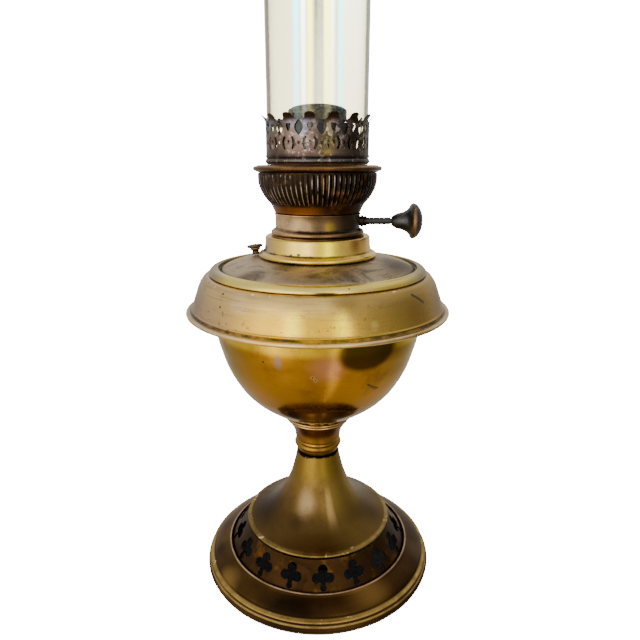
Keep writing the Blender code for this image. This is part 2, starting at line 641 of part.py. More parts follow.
def wick_carrier(material, parent):
    """Clamp ring round the wick with an arm and a rack that meets the pinion."""
    inner = WICK_TUBE_BORE - 0.4 + GAP
    top = CARRIER_Z + CARRIER_HEIGHT
    section = [(inner, CARRIER_Z), (inner + 0.9, CARRIER_Z), (inner + 0.9, top), (inner, top)]
    ring = turned("wick_carrier", section, MEDIUM, material, parent, CARRIER_Z)
    rack = bmesh.new()
    pitch = 2 * pi * PINION_RADIUS / PINION_TEETH
    root_y = PINION_RADIUS + 0.85
    back_y = PINION_RADIUS + 2.0
    outline = [(back_y, 0), (root_y, 0)]
    for i in range(RACK_TEETH):
        middle = WINDER_Z - CARRIER_Z + (i - RACK_TEETH + 2.5) * pitch
        for share, y in ((-0.27, root_y), (-0.12, root_y - 1.1), (0.12, root_y - 1.1), (0.27, root_y)):
            outline.append((y, middle + share * pitch))
    end = outline[-1][1] + 0.6
    outline += [(root_y, end), (back_y, end)]
    face_x = PINION_X - PINION_WIDTH / 2
    prism(rack, outline, lambda u, v, w: Vector((face_x + w, u, v)) * MM, PINION_WIDTH)
    arm_x = 17.2
    arm = [(root_y, 0), (back_y, 0), (back_y, 1.6), (root_y, 1.6)]
    prism(rack, arm, lambda u, v, w: Vector((arm_x + w, u, v)) * MM, PINION_X + 0.5 - arm_x)
    mesh = mesh_from(rack, "wick_carrier_rack")
    part = bpy.data.objects.new("wick_carrier_rack", mesh)
    bpy.context.scene.collection.objects.link(part)
    part.parent = ring
    part.hide_render = True
    part.display_type = "WIRE"
    join = ring.modifiers.new("rack", "BOOLEAN")
    join.operation = "UNION"
    join.object = part
    join.solver = "EXACT"
    join.use_self = True
    return ring


# ---------------------------------------------------------------- gallery, chimney, spreader

def finger_gap_outline():
    """Opening between two fingers: an almond, a narrow throat and the wide gap between the tips."""
    right = [(0.0, -7.2), (1.9, -4.6), (2.2, -2.4), (0.35, 0.2), (2.9, 2.4), (2.6, 6.0)]
    return right + [(-u, v) for u, v in reversed(right[1:])]


def drop_outline(width, height):
    """Inverted drop, point down."""
    return [(0, -height), (width / 2, -height * 0.2), (0, 0.2), (-width / 2, -height * 0.2)]


def gallery(material, parent):
    """Chimney gallery: a seat, a base bead and a pierced wall that ends in bent spring fingers."""
    r = GALLERY_RADIUS
    foot = GALLERY_FOOT_Z
    throat = foot + 20.2
    floor = [(RIM_BORE, foot), (r - 0.4, foot)]
    bead = arc(r - 0.9, foot + 1.5, 1.4, -60, 75, 3)
    wall = [(r, foot + 3.2), (r, throat + 0.2), (r + 2.2, throat + 3.4)]
    inner = [(r + 1.8, throat + 3.6), (r - GALLERY_GAUGE, throat + 0.4), (r - GALLERY_GAUGE, foot + 0.8),
             (RIM_BORE, foot + 0.8)]
    piece = turned("gallery", floor + bead + wall + inner, 2 * GALLERY_FINGERS, material, parent, foot)
    cutters = bmesh.new()
    step = 2 * pi / GALLERY_FINGERS
    for i in range(GALLERY_FINGERS):
        azimuth = radians(GALLERY_PHASE_DEG) + step * i
        between = azimuth + step / 2
        prism(cutters, finger_gap_outline(), radial_place(between, r - 3, throat - foot), 8)
        prism(cutters, drop_outline(3.0, 4.2), radial_place(azimuth, r - 3, throat - 1.4 - foot), 6)
    cut(piece, cutters)
    return piece


def chimney(material, parent):
    """Straight glass chimney with fire-rounded ends."""
    outer = CHIMNEY_RADIUS
    inner = CHIMNEY_RADIUS - CHIMNEY_WALL
    top = CHIMNEY_FOOT_Z + CHIMNEY_LENGTH
    section = [(outer - 0.5, CHIMNEY_FOOT_Z), (outer, CHIMNEY_FOOT_Z + 0.5), (outer, top - 0.6),
               (outer - 0.6, top), (inner + 0.6, top), (inner, top - 0.6),
               (inner, CHIMNEY_FOOT_Z + 0.5), (inner + 0.5, CHIMNEY_FOOT_Z)]
    return turned("chimney", section, LARGE, material, parent, CHIMNEY_FOOT_Z)


def flame_spreader(material, parent):
    """Domed thimble over the draught tube, with a sleeve that slips inside the tube."""
    r = SPREADER_RADIUS
    sleeve = DRAUGHT_TUBE_RADIUS - 1.2
    low = SPREADER_FOOT_Z
    seat = DRAUGHT_TUBE_TOP_Z + 1.2
    outer = [(sleeve, low), (sleeve, seat - 0.4), (r, seat), (r, 264.6), (r - 0.6, 265.6),
             (10.0, 267.0), (0, 267.9)]
    inner = [(0, 267.2), (9.8, 266.3), (r - 1.0, 265.0), (r - 0.8, 264.4), (r - 0.8, seat + 0.6),
             (sleeve - 0.6, seat + 0.2), (sleeve - 0.6, low)]
    body = outer + inner
    bm = bmesh.new()
    verts = [bm.verts.new((rr * MM, 0, (z - low) * MM)) for rr, z in body]
    edges = [bm.edges.new(pair) for pair in zip(verts, verts[1:] + verts[:1])
             if pair[0].co.x > 0 or pair[1].co.x > 0]
    bmesh.ops.spin(bm, geom=verts + edges, cent=(0, 0, 0), axis=(0, 0, 1), angle=2 * pi, steps=SMALL,
                   use_duplicate=False)
    return finish_object("flame_spreader", mesh_from(bm, "flame_spreader"), material, parent, (0, 0, low))


# ---------------------------------------------------------------- assembly

def main():
    """Build the lamp."""
    for obj in list(bpy.data.objects):
        bpy.data.objects.remove(obj, do_unlink=True)

    dark_brass = metal("dark_brass", (0.20, 0.14, 0.055), 0.38)
    black_brass = metal("black_brass", (0.09, 0.055, 0.02), 0.45)
    stem_brass = metal("stem_brass", (0.36, 0.25, 0.09), 0.34)
    bowl_brass = metal("bowl_brass", (0.50, 0.33, 0.05), 0.16)
    skirt_brass = metal("skirt_brass", (0.50, 0.39, 0.23), 0.34)
    dome_brass = metal("dome_brass", (0.32, 0.26, 0.18), 0.48)
    collar_brass = metal("collar_brass", (0.66, 0.52, 0.27), 0.28)
    burner_bronze = metal("burner_bronze", (0.10, 0.065, 0.035), 0.40)
    neck_brass = metal("neck_brass", (0.42, 0.32, 0.22), 0.36)
    gallery_brass = metal("gallery_brass", (0.34, 0.27, 0.22), 0.40)
    rim_brass = metal("rim_brass", (0.30, 0.19, 0.09), 0.32)
    tin = metal("tin", (0.30, 0.31, 0.33), 0.45)
    steel = metal("steel", (0.32, 0.31, 0.30), 0.40)
    iron = metal("cast_iron", (0.03, 0.027, 0.025), 0.75)
    black = principled("black_lacquer", (0.012, 0.010, 0.009), 0.35)
    cotton = principled("cotton", (0.78, 0.74, 0.64), 0.95)
    cork = principled("cork", (0.45, 0.28, 0.15), 0.90)
    glass = principled("glass", (0.95, 0.96, 0.93), 0.03, transmission=1.0)

    base_flange(dark_brass)
    foot_weight(iron)
    pierced_ring(black_brass)
    stem_cone(stem_brass)
    stem_collar(stem_brass)
    socket_cup(stem_brass)
    air_tube(steel)
    ring_nut("foot_nut", 64.6, 69.4, 19.6, steel)
    ring_nut("bowl_nut", 100.9, 104.0, 22.0, steel)
    bowl(bowl_brass)
    skirt(skirt_brass)

    font_axis = empty("font_axis", (0, 0, FONT_FOOT_Z))
    font_body(skirt_brass, font_axis)
    font_dome(dome_brass, font_axis)
    font_collar(collar_brass, font_axis)
    filler_neck(collar_brass, font_axis)
    draught_tube(stem_brass, font_axis)

    cap_axis = empty("cap_axis", filler_frame()[0])
    filler_cap(dark_brass, cap_axis)
    cap_washer(cork, cap_axis)

    burner_axis = empty("burner_axis", (0, 0, 193.0))
    burner_neck(neck_brass, burner_axis)
    basket(burner_bronze, burner_axis)
    basket_rim(rim_brass, burner_axis)
    air_plate(burner_bronze, burner_axis)
    outer_wick_tube(burner_bronze, burner_axis)
    shaft_bush(burner_bronze, burner_axis)

    winder_axis = empty("winder_axis", (0, 0, WINDER_Z))
    winder_shaft(black, winder_axis)
    winder_pinion(steel, winder_axis)
    winder_knob(black, winder_axis)

    wick_axis = empty("wick_axis", (0, 0, WICK_FOOT_Z))
    wick(cotton, wick_axis)
    wick_carrier(steel, wick_axis)

    gallery(gallery_brass, empty("gallery_axis", (0, 0, GALLERY_FOOT_Z)))
    chimney(glass, empty("chimney_axis", (0, 0, CHIMNEY_FOOT_Z)))
    flame_spreader(tin, empty("spreader_axis", (0, 0, SPREADER_FOOT_Z)))


main()
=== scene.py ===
"""Looks of the brass paraffin lamp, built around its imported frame. Lengths in this file are in
millimetres and MM turns them into metres; +Z is up and the wick winder's knob points along +X.
"""
from math import atan2, cos, pi, radians, sin

import bmesh
import bpy
from mathutils import Matrix, Vector, noise


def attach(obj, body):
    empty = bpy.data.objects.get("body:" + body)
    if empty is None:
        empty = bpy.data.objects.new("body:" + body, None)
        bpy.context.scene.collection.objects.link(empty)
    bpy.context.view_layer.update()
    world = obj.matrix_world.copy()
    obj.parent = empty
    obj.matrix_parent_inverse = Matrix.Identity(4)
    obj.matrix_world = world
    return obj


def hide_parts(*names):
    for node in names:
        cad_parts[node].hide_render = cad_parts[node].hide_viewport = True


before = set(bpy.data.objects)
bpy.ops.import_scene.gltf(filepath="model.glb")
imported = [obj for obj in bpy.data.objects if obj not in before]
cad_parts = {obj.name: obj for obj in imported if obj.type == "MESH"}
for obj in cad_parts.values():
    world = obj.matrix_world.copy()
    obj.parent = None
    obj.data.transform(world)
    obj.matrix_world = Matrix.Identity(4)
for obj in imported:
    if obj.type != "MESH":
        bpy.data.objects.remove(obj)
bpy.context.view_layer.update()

MM = 0.001

# Camera
EYE = (1.3, -300.0, 239.25)
PITCH_DEG = 16.04
LENS = 30.9

# Height of the winder's axis, and how often each pattern repeats round the lamp
SHAFT_Z = 208.7
CLUBS = 17
SLOTS = 72
FINGERS = 15

# Brightness of the backdrop for the camera, of what shows through the glass, and of the studio
BACKDROP = 19.0
BEHIND_GLASS = 9.0
ROOM = 4.0


# ---------------------------------------------------------------- node helpers

class Nodes:
    """A node tree with short calls for the nodes used here."""

    def __init__(self, tree, coordinates="Object"):
        self.tree = tree
        self.coord = tree.nodes.new("ShaderNodeTexCoord").outputs[coordinates]
        self._split = None

    def put(self, socket, value):
        """Link or set a socket."""
        if hasattr(value, "is_output"):
            self.tree.links.new(value, socket)
        else:
            socket.default_value = value

    def xyz(self):
        """Object coordinates split into x, y and z."""
        if self._split is None:
            node = self.tree.nodes.new("ShaderNodeSeparateXYZ")
            self.put(node.inputs[0], self.coord)
            self._split = node.outputs
        return self._split

    def math(self, operation, a, b=0.0, clamp=False):
        """Math node."""
        node = self.tree.nodes.new("ShaderNodeMath")
        node.operation = operation
        node.use_clamp = clamp
        self.put(node.inputs[0], a)
        self.put(node.inputs[1], b)
        return node.outputs[0]

    def plus(self, a, b, clamp=False):
        """Sum."""
        return self.math("ADD", a, b, clamp)

    def minus(self, a, b):
        """Difference."""
        return self.math("SUBTRACT", a, b)

    def times(self, first, *others, clamp=False):
        """Product of two or more values."""
        for other in others:
            first = self.math("MULTIPLY", first, other, clamp)
        return first

    def scaled(self, x, y, z):
        """Object coordinates stretched by a factor along each axis."""
        node = self.tree.nodes.new("ShaderNodeMapping")
        self.put(node.inputs["Vector"], self.coord)
        node.inputs["Scale"].default_value = (x, y, z)
        return node.outputs[0]

    def noise(self, scale, detail=4.0, rough=0.6, vector=None, distortion=0.0):
        """Noise factor."""
        node = self.tree.nodes.new("ShaderNodeTexNoise")
        self.put(node.inputs["Vector"], vector if vector is not None else self.coord)
        node.inputs["Scale"].default_value = scale
        node.inputs["Detail"].default_value = detail
        node.inputs["Roughness"].default_value = rough
        node.inputs["Distortion"].default_value = distortion
        return node.outputs[0]

    def cells(self, scale):
        """Voronoi distance."""
        node = self.tree.nodes.new("ShaderNodeTexVoronoi")
        self.put(node.inputs["Vector"], self.coord)
        node.inputs["Scale"].default_value = scale
        return node.outputs["Distance"]

    def ramp(self, factor, *stops):
        """Colour ramp; stops are (position, colour)."""
        node = self.tree.nodes.new("ShaderNodeValToRGB")
        self.put(node.inputs[0], factor)
        elements = node.color_ramp.elements
        while len(elements) < len(stops):
            elements.new(0.5)
        for element, (position, colour) in zip(elements, stops):
            element.position = position
            element.color = (*colour, 1) if len(colour) == 3 else colour
        return node.outputs[0]

    def span(self, value, low, high, to_low=0.0, to_high=1.0, smooth=True):
        """Value mapped from low..high to to_low..to_high, clamped."""
        node = self.tree.nodes.new("ShaderNodeMapRange")
        node.interpolation_type = "SMOOTHSTEP" if smooth else "LINEAR"
        self.put(node.inputs[0], value)
        for socket, number in zip(node.inputs[1:5], (low, high, to_low, to_high)):
            socket.default_value = number
        return node.outputs[0]

    def mix(self, factor, a, b, blend="MIX"):
        """Colour mix."""
        node = self.tree.nodes.new("ShaderNodeMix")
        node.data_type = "RGBA"
        node.blend_type = blend
        self.put(node.inputs["Factor"], factor)
        self.put(node.inputs[6], (*a, 1) if isinstance(a, tuple) else a)
        self.put(node.inputs[7], (*b, 1) if isinstance(b, tuple) else b)
        return node.outputs[2]

    def vector(self, operation, a, b=(0, 0, 0)):
        """Vector math node."""
        node = self.tree.nodes.new("ShaderNodeVectorMath")
        node.operation = operation
        self.put(node.inputs[0], a)
        node.inputs[1].default_value = b
        return node

    def blob(self, centre, radius, softness=0.6, wobble=0.0, stretch=(1, 1, 1)):
        """Soft spot round a point in millimetres: 1 at its centre and 0 past its radius."""
        away = self.vector("SUBTRACT", self.coord, [c * MM for c in centre])
        away = self.vector("MULTIPLY", away.outputs[0], [1 / s for s in stretch])
        distance = self.vector("LENGTH", away.outputs[0]).outputs["Value"]
        if wobble:
            uneven = self.noise(0.35 / (radius * MM), 3)
            distance = self.plus(distance, self.times(self.minus(uneven, 0.5), wobble * radius * MM))
        return self.span(distance, radius * MM * (1 - softness), radius * MM, 1.0, 0.0)

    def band(self, value, middle, half, soft):
        """1 where a value is within half of the middle, falling to 0 over soft."""
        distance = self.math("ABSOLUTE", self.minus(value, middle))
        return self.span(distance, half, half + soft, 1.0, 0.0)

    def radius(self):
        """Distance from the lamp's axis."""
        x, y, _ = self.xyz()
        squares = self.plus(self.times(x, x), self.times(y, y))
        return self.math("SQRT", squares)

    def angle(self):
        """Angle round the lamp's axis in radians, 0 towards +X."""
        x, y, _ = self.xyz()
        return self.math("ARCTAN2", y, x)

    def bump(self, height, strength=0.2, distance=0.0003):
        """Bump normal."""
        node = self.tree.nodes.new("ShaderNodeBump")
        node.inputs["Strength"].default_value = strength
        node.inputs["Distance"].default_value = distance
        self.put(node.inputs["Height"], height)
        return node.outputs[0]


class Shader(Nodes):
    """A principled material."""

    def __init__(self, name, colour=(0.5, 0.5, 0.5), roughness=0.4, metallic=1.0):
        self.material = bpy.data.materials.new(name)
        self.material.use_nodes = True
        super().__init__(self.material.node_tree)
        self.bsdf = self.tree.nodes["Principled BSDF"]
        self.bsdf.inputs["Base Color"].default_value = (*colour, 1)
        self.bsdf.inputs["Roughness"].default_value = roughness
        self.bsdf.inputs["Metallic"].default_value = metallic
        self.colour = colour

    def paint(self, mask, tone, share=None):
        """Mix a tone into the colour where the mask is 1; a share weakens the mask."""
        if share is not None:
            mask = self.times(mask, share)
        self.colour = self.mix(mask, self.colour, tone)

    def bands(self, bands, tone):
        """Worn or dark lines round the lamp; bands are (height, half width, softness, strength)."""
        z = self.xyz()[2]
        uneven = self.noise(90, 4)
        for height, half, soft, strength in bands:
            line = self.band(z, height * MM, half * MM, soft * MM)
            self.paint(self.times(line, self.span(uneven, 0.3, 0.62, strength * 0.35, strength)), tone)

    def chips(self, height, half, tone, share=0.6, scale=260):
        """Broken line of small chips round the lamp at a height."""
        line = self.band(self.xyz()[2], height * MM, half * MM, half * MM)
        self.paint(self.times(line, self.span(self.noise(scale, 4, 0.7), share, share + 0.05)), tone)

    def patch(self, centre, radius, tone, share, softness=0.9, wobble=0.8, stretch=(1, 1, 1)):
        """Soft patch of a tone; the centre and the radius are in millimetres."""
        self.paint(self.blob(centre, radius, softness, wobble, stretch), tone, share)

    def patches(self, spots):
        """Soft patches, each given by the values that patch() takes."""
        for spot in spots:
            self.patch(*spot)

    def marks(self, places, radius, tone=(0.012, 0.008, 0.005)):
        """Small dark pits and scratch dots at places in millimetres."""
        for place in places:
            self.paint(self.blob(place, radius, 0.45), tone)

    def set(self, **sockets):
        """Link or set the shader's sockets; underscores in names stand for spaces."""
        names = {key.replace("_", " ").lower(): value for key, value in sockets.items()}
        for socket in self.bsdf.inputs:
            if socket.name.lower() in names:
                value = names.pop(socket.name.lower())
                if isinstance(value, tuple) and len(value) == 3:
                    value = (*value, 1)
                self.put(socket, value)
        if names:
            raise ValueError(f"no such sockets: {sorted(names)}")
        return self.material


# ---------------------------------------------------------------- geometry helpers

def arc(centre_r, centre_z, radius, start_deg, end_deg, steps):
    """Points on a circular arc of a section, angles measured from outward towards up."""
    angles = [radians(start_deg + (end_deg - start_deg) * i / steps) for i in range(steps + 1)]
    return [(centre_r + radius * cos(a), centre_z + radius * sin(a)) for a in angles]


def curve(points, steps):
    """Smooth curve through every given point, by Catmull-Rom interpolation."""
    ends = [points[0]] + list(points) + [points[-1]]
    line = []
    for before, start, end, after in zip(ends, ends[1:], ends[2:], ends[3:]):
        for i in range(steps):
            t = i / steps
            line.append(tuple(
                0.5 * (2 * q + (r - p) * t + (2 * p - 5 * q + 4 * r - s) * t ** 2
                       + (3 * q - p - 3 * r + s) * t ** 3)
                for p, q, r, s in zip(before, start, end, after)))
    return line + [points[-1]]


def offset(line, distance):
    """Line moved sideways by a distance, to the left of its own direction."""
    moved = []
    for i, point in enumerate(line):
        normals = []
        for a, b in ((i - 1, i), (i, i + 1)):
            if a >= 0 and b < len(line):
                step = Vector((line[b][0] - line[a][0], line[b][1] - line[a][1]))
                if step.length > 1e-9:
                    step.normalize()
                    normals.append(Vector((-step.y, step.x)))
        normal = sum(normals, Vector((0, 0))).normalized()
        reach = distance / max(normal.dot(normals[0]), 0.5)
        moved.append((point[0] + normal.x * reach, point[1] + normal.y * reach))
    return moved


def sheet(line, gauge):
    """Closed section of spun sheet metal whose outer face is the line."""
    return line + offset(line, gauge)[::-1]


def link(name, mesh, material, body, replaced=(), smooth_deg=40):
    """Object from a mesh, shaded smooth, riding on a body."""
    mesh.materials.clear()
    mesh.materials.append(material)
    mesh.shade_smooth()
    mesh.set_sharp_from_angle(angle=radians(smooth_deg))
    obj = bpy.data.objects.new(name, mesh)
    bpy.context.scene.collection.objects.link(obj)
    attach(obj, body)
    if replaced:
        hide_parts(*replaced)
    return obj


def mesh_from(bm, name):
    """Mesh from a closed bmesh, faces pointing out."""
    bmesh.ops.remove_doubles(bm, verts=bm.verts, dist=1e-7)
    bmesh.ops.recalc_face_normals(bm, faces=bm.faces)
    mesh = bpy.data.meshes.new(name)
    bm.to_mesh(mesh)
    bm.free()
    return mesh


def lathe(name, section, segments, dents=None):
    """Mesh turned about Z from a closed section of (radius, height) points in millimetres.

    dents(r, z, angle) may return a change of radius in millimetres for each point.
    """
    bm = bmesh.new()
    rings = []
    for r, z in section:
        if r == 0:
            rings.append([bm.verts.new((0, 0, z * MM))])
            continue
        ring = []
        for i in range(segments):
            a = 2 * pi * i / segments
            rr = r + (dents(r, z, a) if dents else 0)
            ring.append(bm.verts.new((rr * cos(a) * MM, rr * sin(a) * MM, z * MM)))
        rings.append(ring)
    for low, high in zip(rings, rings[1:] + rings[:1]):
        if len(low) == 1 and len(high) == 1:
            continue
        for i in range(segments):
            j = (i + 1) % segments
            if len(low) == 1:
                bm.faces.new((low[0], high[j], high[i]))
            elif len(high) == 1:
                bm.faces.new((low[i], low[j], high[0]))
            else:
                bm.faces.new((low[i], low[j], high[j], high[i]))
    return mesh_from(bm, name)


def turned(name, section, segments, material, body, node, dents=None):
    """Lathe piece on a body, in place of one node."""
    return link(name, lathe(name, section, segments, dents), material, body, [node])


def prism(bm, outline, place, depth):
    """Closed prism of a flat outline; place maps (u, v, w) to a point in metres."""
    front = [bm.verts.new(place(u, v, 0)) for u, v in outline]
    back = [bm.verts.new(place(u, v, depth)) for u, v in outline]
    bm.faces.new(front)
    bm.faces.new(back[::-1])
    for i in range(len(outline)):
        j = (i + 1) % len(outline)
        bm.faces.new((front[j], front[i], back[i], back[j]))


def radial_place(azimuth, radius, height, slope=0.0):
    """Placement for a cutter that points outwards at an azimuth: u across, v up, w outwards."""
    out = Vector((sin(azimuth), -cos(azimuth), 0))
    across = Vector((cos(azimuth), sin(azimuth), 0))
    up = Vector((0, 0, 1)) * cos(slope) - out * sin(slope)
    outward = out * cos(slope) + Vector((0, 0, 1)) * sin(slope)
    base = out * radius + Vector((0, 0, height))
    return lambda u, v, w: (base + across * u + up * v + outward * w) * MM


def cut(mesh, cutters):
    """Mesh with every closed shell of a cutter bmesh taken out of it, as a new mesh."""
    body = bpy.data.objects.new("cut_body", mesh)
    tool = bpy.data.objects.new("cut_tool", mesh_from(cutters, "cut_tool"))
    for obj in (body, tool):
        bpy.context.scene.collection.objects.link(obj)
    modifier = body.modifiers.new("cut", "BOOLEAN")
    modifier.operation = "DIFFERENCE"
    modifier.object = tool
    modifier.solver = "EXACT"
    graph = bpy.context.evaluated_depsgraph_get()
    result = bpy.data.meshes.new_from_object(body.evaluated_get(graph))
    for obj in (body, tool):
        bpy.data.objects.remove(obj, do_unlink=True)
    return result


def wobble(amount, scale, seed):
    """Slow unevenness of old spun metal: a change of radius in millimetres, as dents() takes it."""
    def change(r, z, a):
        point = Vector((r * cos(a), r * sin(a), z)) * scale + Vector((seed, 2.3 * seed, 0))
        return amount * noise.noise(point)
    return change


# ---------------------------------------------------------------- materials

def brass(name, light, middle, dark, roughness, blotch=26.0, brushed=0.06, pits=0.25, extra=None, coat=0.0):
    """Aged brass: three tones in cloudy blotches, turning marks, pits and a roughness that follows them.

    extra(shader) may paint what only one piece has, and returns a roughness to add or nothing.
    """
    s = Shader(name)
    cloud = s.noise(blotch, 7, 0.62, distortion=0.6)
    s.colour = s.ramp(cloud, (0.3, dark), (0.47, middle), (0.62, middle), (0.8, light))
    rings = s.noise(60, 3, 0.7, s.scaled(1.2, 1.2, 60))
    s.paint(s.span(rings, 0.35, 0.75, 0.0, 0.3), dark)
    grain = s.noise(900, 3, 0.7)
    spots = s.span(s.cells(260), 0.04, 0.1, 1.0, 0.0)
    spots = s.times(spots, s.span(s.noise(55, 3), 0.52, 0.66))
    s.paint(s.times(spots, pits * 2.2, clamp=True), (0.03, 0.02, 0.01))
    rough = s.span(cloud, 0.3, 0.75, roughness + 0.12, roughness - 0.05)
    rough = s.plus(rough, s.span(grain, 0.3, 0.7, -0.03, 0.05))
    if extra is not None:
        added = extra(s)
        if added is not None:
            rough = s.plus(rough, added, clamp=True)
    height = s.plus(s.times(rings, 0.5), s.times(grain, 0.35))
    height = s.minus(height, s.times(spots, 1.4))
    normal = s.bump(height, brushed * 3, 0.00012)
    s.set(base_color=s.colour, roughness=rough, normal=normal, coat_weight=coat, coat_roughness=0.12)
    return s.material


def between(start, end, count):
    """Evenly spaced places from one point to another."""
    return [tuple(a + (b - a) * i / (count - 1) for a, b in zip(start, end)) for i in range(count)]


def foot_extra(s):
    """Worn bright lines on the hem and the flange's lip, and a black tarnished front and right."""
    x, y, _ = s.xyz()
    side = s.minus(s.times(x, 0.62), y)
    tarnish = s.span(side, -0.04, 0.04, 0.15, 0.8)
    tarnish = s.times(tarnish, s.span(s.noise(34, 5, 0.65), 0.28, 0.6, 0.45, 1.0))
    s.paint(tarnish, (0.036, 0.014, 0.004))
    black = (0.012, 0.006, 0.003)
    s.patches([
        ((-16, -62, 7), 17, black, 0.9, 0.8, 0.8, (1.8, 1, 0.9)),
        ((-61, -14, 11), 9, black, 0.6, 0.8, 0.9),
        ((-54, -38, 9.5), 10, (0.3, 0.17, 0.045), 0.75, 0.9, 0.8, (1.2, 1.2, 1)),
        ((27, -50, 11.5), 15, (0.24, 0.125, 0.03), 0.7, 0.9, 0.8, (1.4, 1, 1)),
        ((60, -15, 11), 12, (0.12, 0.075, 0.035), 0.6),
        ((-60, 10, 11), 10, black, 0.5, 0.9, 0.9),
        ((10, 60, 10), 16, black, 0.6, 0.9, 0.9, (1.5, 1, 1))])
    worn = (0.62, 0.4, 0.11)
    s.bands([(4.6, 0.3, 0.4, 0.75), (6.9, 0.28, 0.4, 0.75), (1.0, 0.4, 0.6, 0.4)], worn)
    s.bands([(5.0, 0.22, 0.3, 0.9), (7.6, 0.2, 0.5, 0.7)], black)
    s.bands([(14.2, 0.25, 0.3, 0.9)], (0.55, 0.36, 0.2))
    s.chips(6.9, 0.4, (0.7, 0.48, 0.17), 0.64, 180)


def ring_extra(s):
    """Orange-brown rubbed places between the clubs."""
    rubbed = s.span(s.noise(64, 5, 0.65), 0.52, 0.7)
    s.paint(rubbed, (0.2, 0.085, 0.014), 0.8)
    s.bands([(13.2, 0.5, 0.5, 0.9)], (0.006, 0.004, 0.003))


def cone_extra(s):
    """Worn rolled lip, tarnish clouds on the flare, a painted highlight streak on the right front and a
    black crust under the collar.
    """
    x, y, z = s.xyz()
    s.paint(s.span(z, 0.036, 0.054, 0.78, 0.0), (0.066, 0.037, 0.011))
    right = s.times(s.span(x, 0.001, 0.012, 0.0, 0.55), s.span(z, 0.036, 0.048, 0.2, 1.0))
    s.paint(right, (0.38, 0.245, 0.045))
    dark = (0.03, 0.019, 0.009)
    s.patches([
        ((-31, -3, 34), 17, dark, 0.75, 0.85, 0.7, (1, 1.2, 1)),
        ((-13, -24, 37), 8, dark, 0.5),
        ((33, -8, 33), 13, dark, 0.5, 0.9, 0.8, (1, 1.2, 1)),
        ((22, 26, 34), 16, dark, 0.5, 0.9, 0.7),
        ((-7, -20, 46), 9, (0.42, 0.3, 0.16), 0.5, 0.9, 0.5, (0.9, 1, 1.6))])
    # painted highlight: upright light streak at 19 degrees round from the front
    streak = s.band(s.math("ARCTAN2", x, s.times(y, -1.0)), radians(19), radians(2), radians(6))
    streak = s.times(streak, s.times(s.span(z, 0.034, 0.042), s.span(z, 0.048, 0.058, 1.0, 0.0)))
    s.paint(streak, (0.66, 0.44, 0.17), 0.45)
    s.bands([(28.8, 0.45, 0.5, 0.65)], (0.42, 0.29, 0.08))
    s.chips(28.6, 0.6, (0.95, 0.7, 0.3), 0.61, 120)
    ragged = s.times(s.noise(230, 5, 0.7), 0.0045)
    s.paint(s.span(z, 0.054, 0.064, 0.0, 0.65), (0.25, 0.155, 0.014))
    crust = s.span(s.plus(z, ragged), 0.0735, 0.074)
    s.paint(crust, (0.01, 0.007, 0.004))
    stain = s.span(s.noise(48, 5), 0.56, 0.74)
    s.paint(stain, (0.09, 0.045, 0.012), 0.55)
    return s.times(stain, 0.12)


def cup_extra(s):
    """Red-brown tarnish in the cup's neck, bright ring lines and black crust at the bowl's foot."""
    z = s.xyz()[2]
    red = s.band(z, 0.0895, 0.0018, 0.0035)
    s.paint(red, (0.22, 0.075, 0.022), 0.75)
    s.bands([(94.0, 0.35, 0.3, 0.95), (96.3, 0.3, 0.3, 0.8)], (0.8, 0.52, 0.2))
    s.bands([(93.0, 0.25, 0.3, 0.9), (95.4, 0.25, 0.3, 0.9)], (0.05, 0.022, 0.008))
    crust = s.times(s.span(z, 0.096, 0.0975), s.span(s.noise(120, 5, 0.7), 0.5, 0.56))
    s.paint(crust, (0.015, 0.01, 0.006))


def bowl_extra(s):
    """Gold mouth, olive flanks, dark underside, pink heat patch, a painted dark reflection shaped like a
    half moon and a few pits.
    """
    x, _, z = s.xyz()
    side = s.span(s.math("ABSOLUTE", x), 0.026, 0.054, 0.0, 0.9)
    s.paint(side, (0.4, 0.28, 0.022))
    under = s.span(z, 0.101, 0.128, 0.8, 0.0)
    s.paint(under, (0.19, 0.085, 0.008))
    s.paint(s.span(z, 0.101, 0.119, 0.75, 0.0), (0.075, 0.034, 0.004))
    gold = s.times(s.span(z, 0.1485, 0.1525), s.span(s.noise(40, 4), 0.35, 0.6, 0.5, 1.0))
    s.paint(gold, (0.95, 0.6, 0.022))
    stain = s.span(s.noise(36, 6, 0.7), 0.54, 0.66)
    s.paint(stain, (0.22, 0.1, 0.012), 0.4)
    s.patches([
        ((5, -55, 144.5), 13, (0.72, 0.3, 0.15), 0.7, 0.9, 0.5, (1.1, 1, 0.85)),
        ((-19, -53, 147), 3.6, (0.36, 0.24, 0.2), 0.75, 0.6, 0.5, (0.7, 1, 1.6)),
        # painted reflection: dark half moon on the front
        ((24, -49.5, 152), 18.5, (0.045, 0.02, 0.002), 0.9, 0.3, 0.35, (1, 1, 0.65)),
        ((-45, 33, 140), 16, (0.2, 0.09, 0.012), 0.6, 0.6, 0.6, (1, 1, 0.7))])
    s.marks([(-2.3, -54.4, 139.7), (-0.8, -53.9, 138.0)], 1.15, (0.85, 0.5, 0.22))
    s.marks([(-2.3, -54.4, 139.7), (-0.8, -53.9, 138.0), (-26.3, -49.6, 146.1)], 0.62)
    s.marks(between((25.2, -45.9, 132.6), (30.6, -40.6, 128.6), 9), 0.62, (0.05, 0.03, 0.012))
    s.marks(between((26.0, -44.6, 131.0), (29.5, -41.2, 128.2), 7), 0.45, (0.09, 0.06, 0.03))
    return s.times(stain, 0.1)


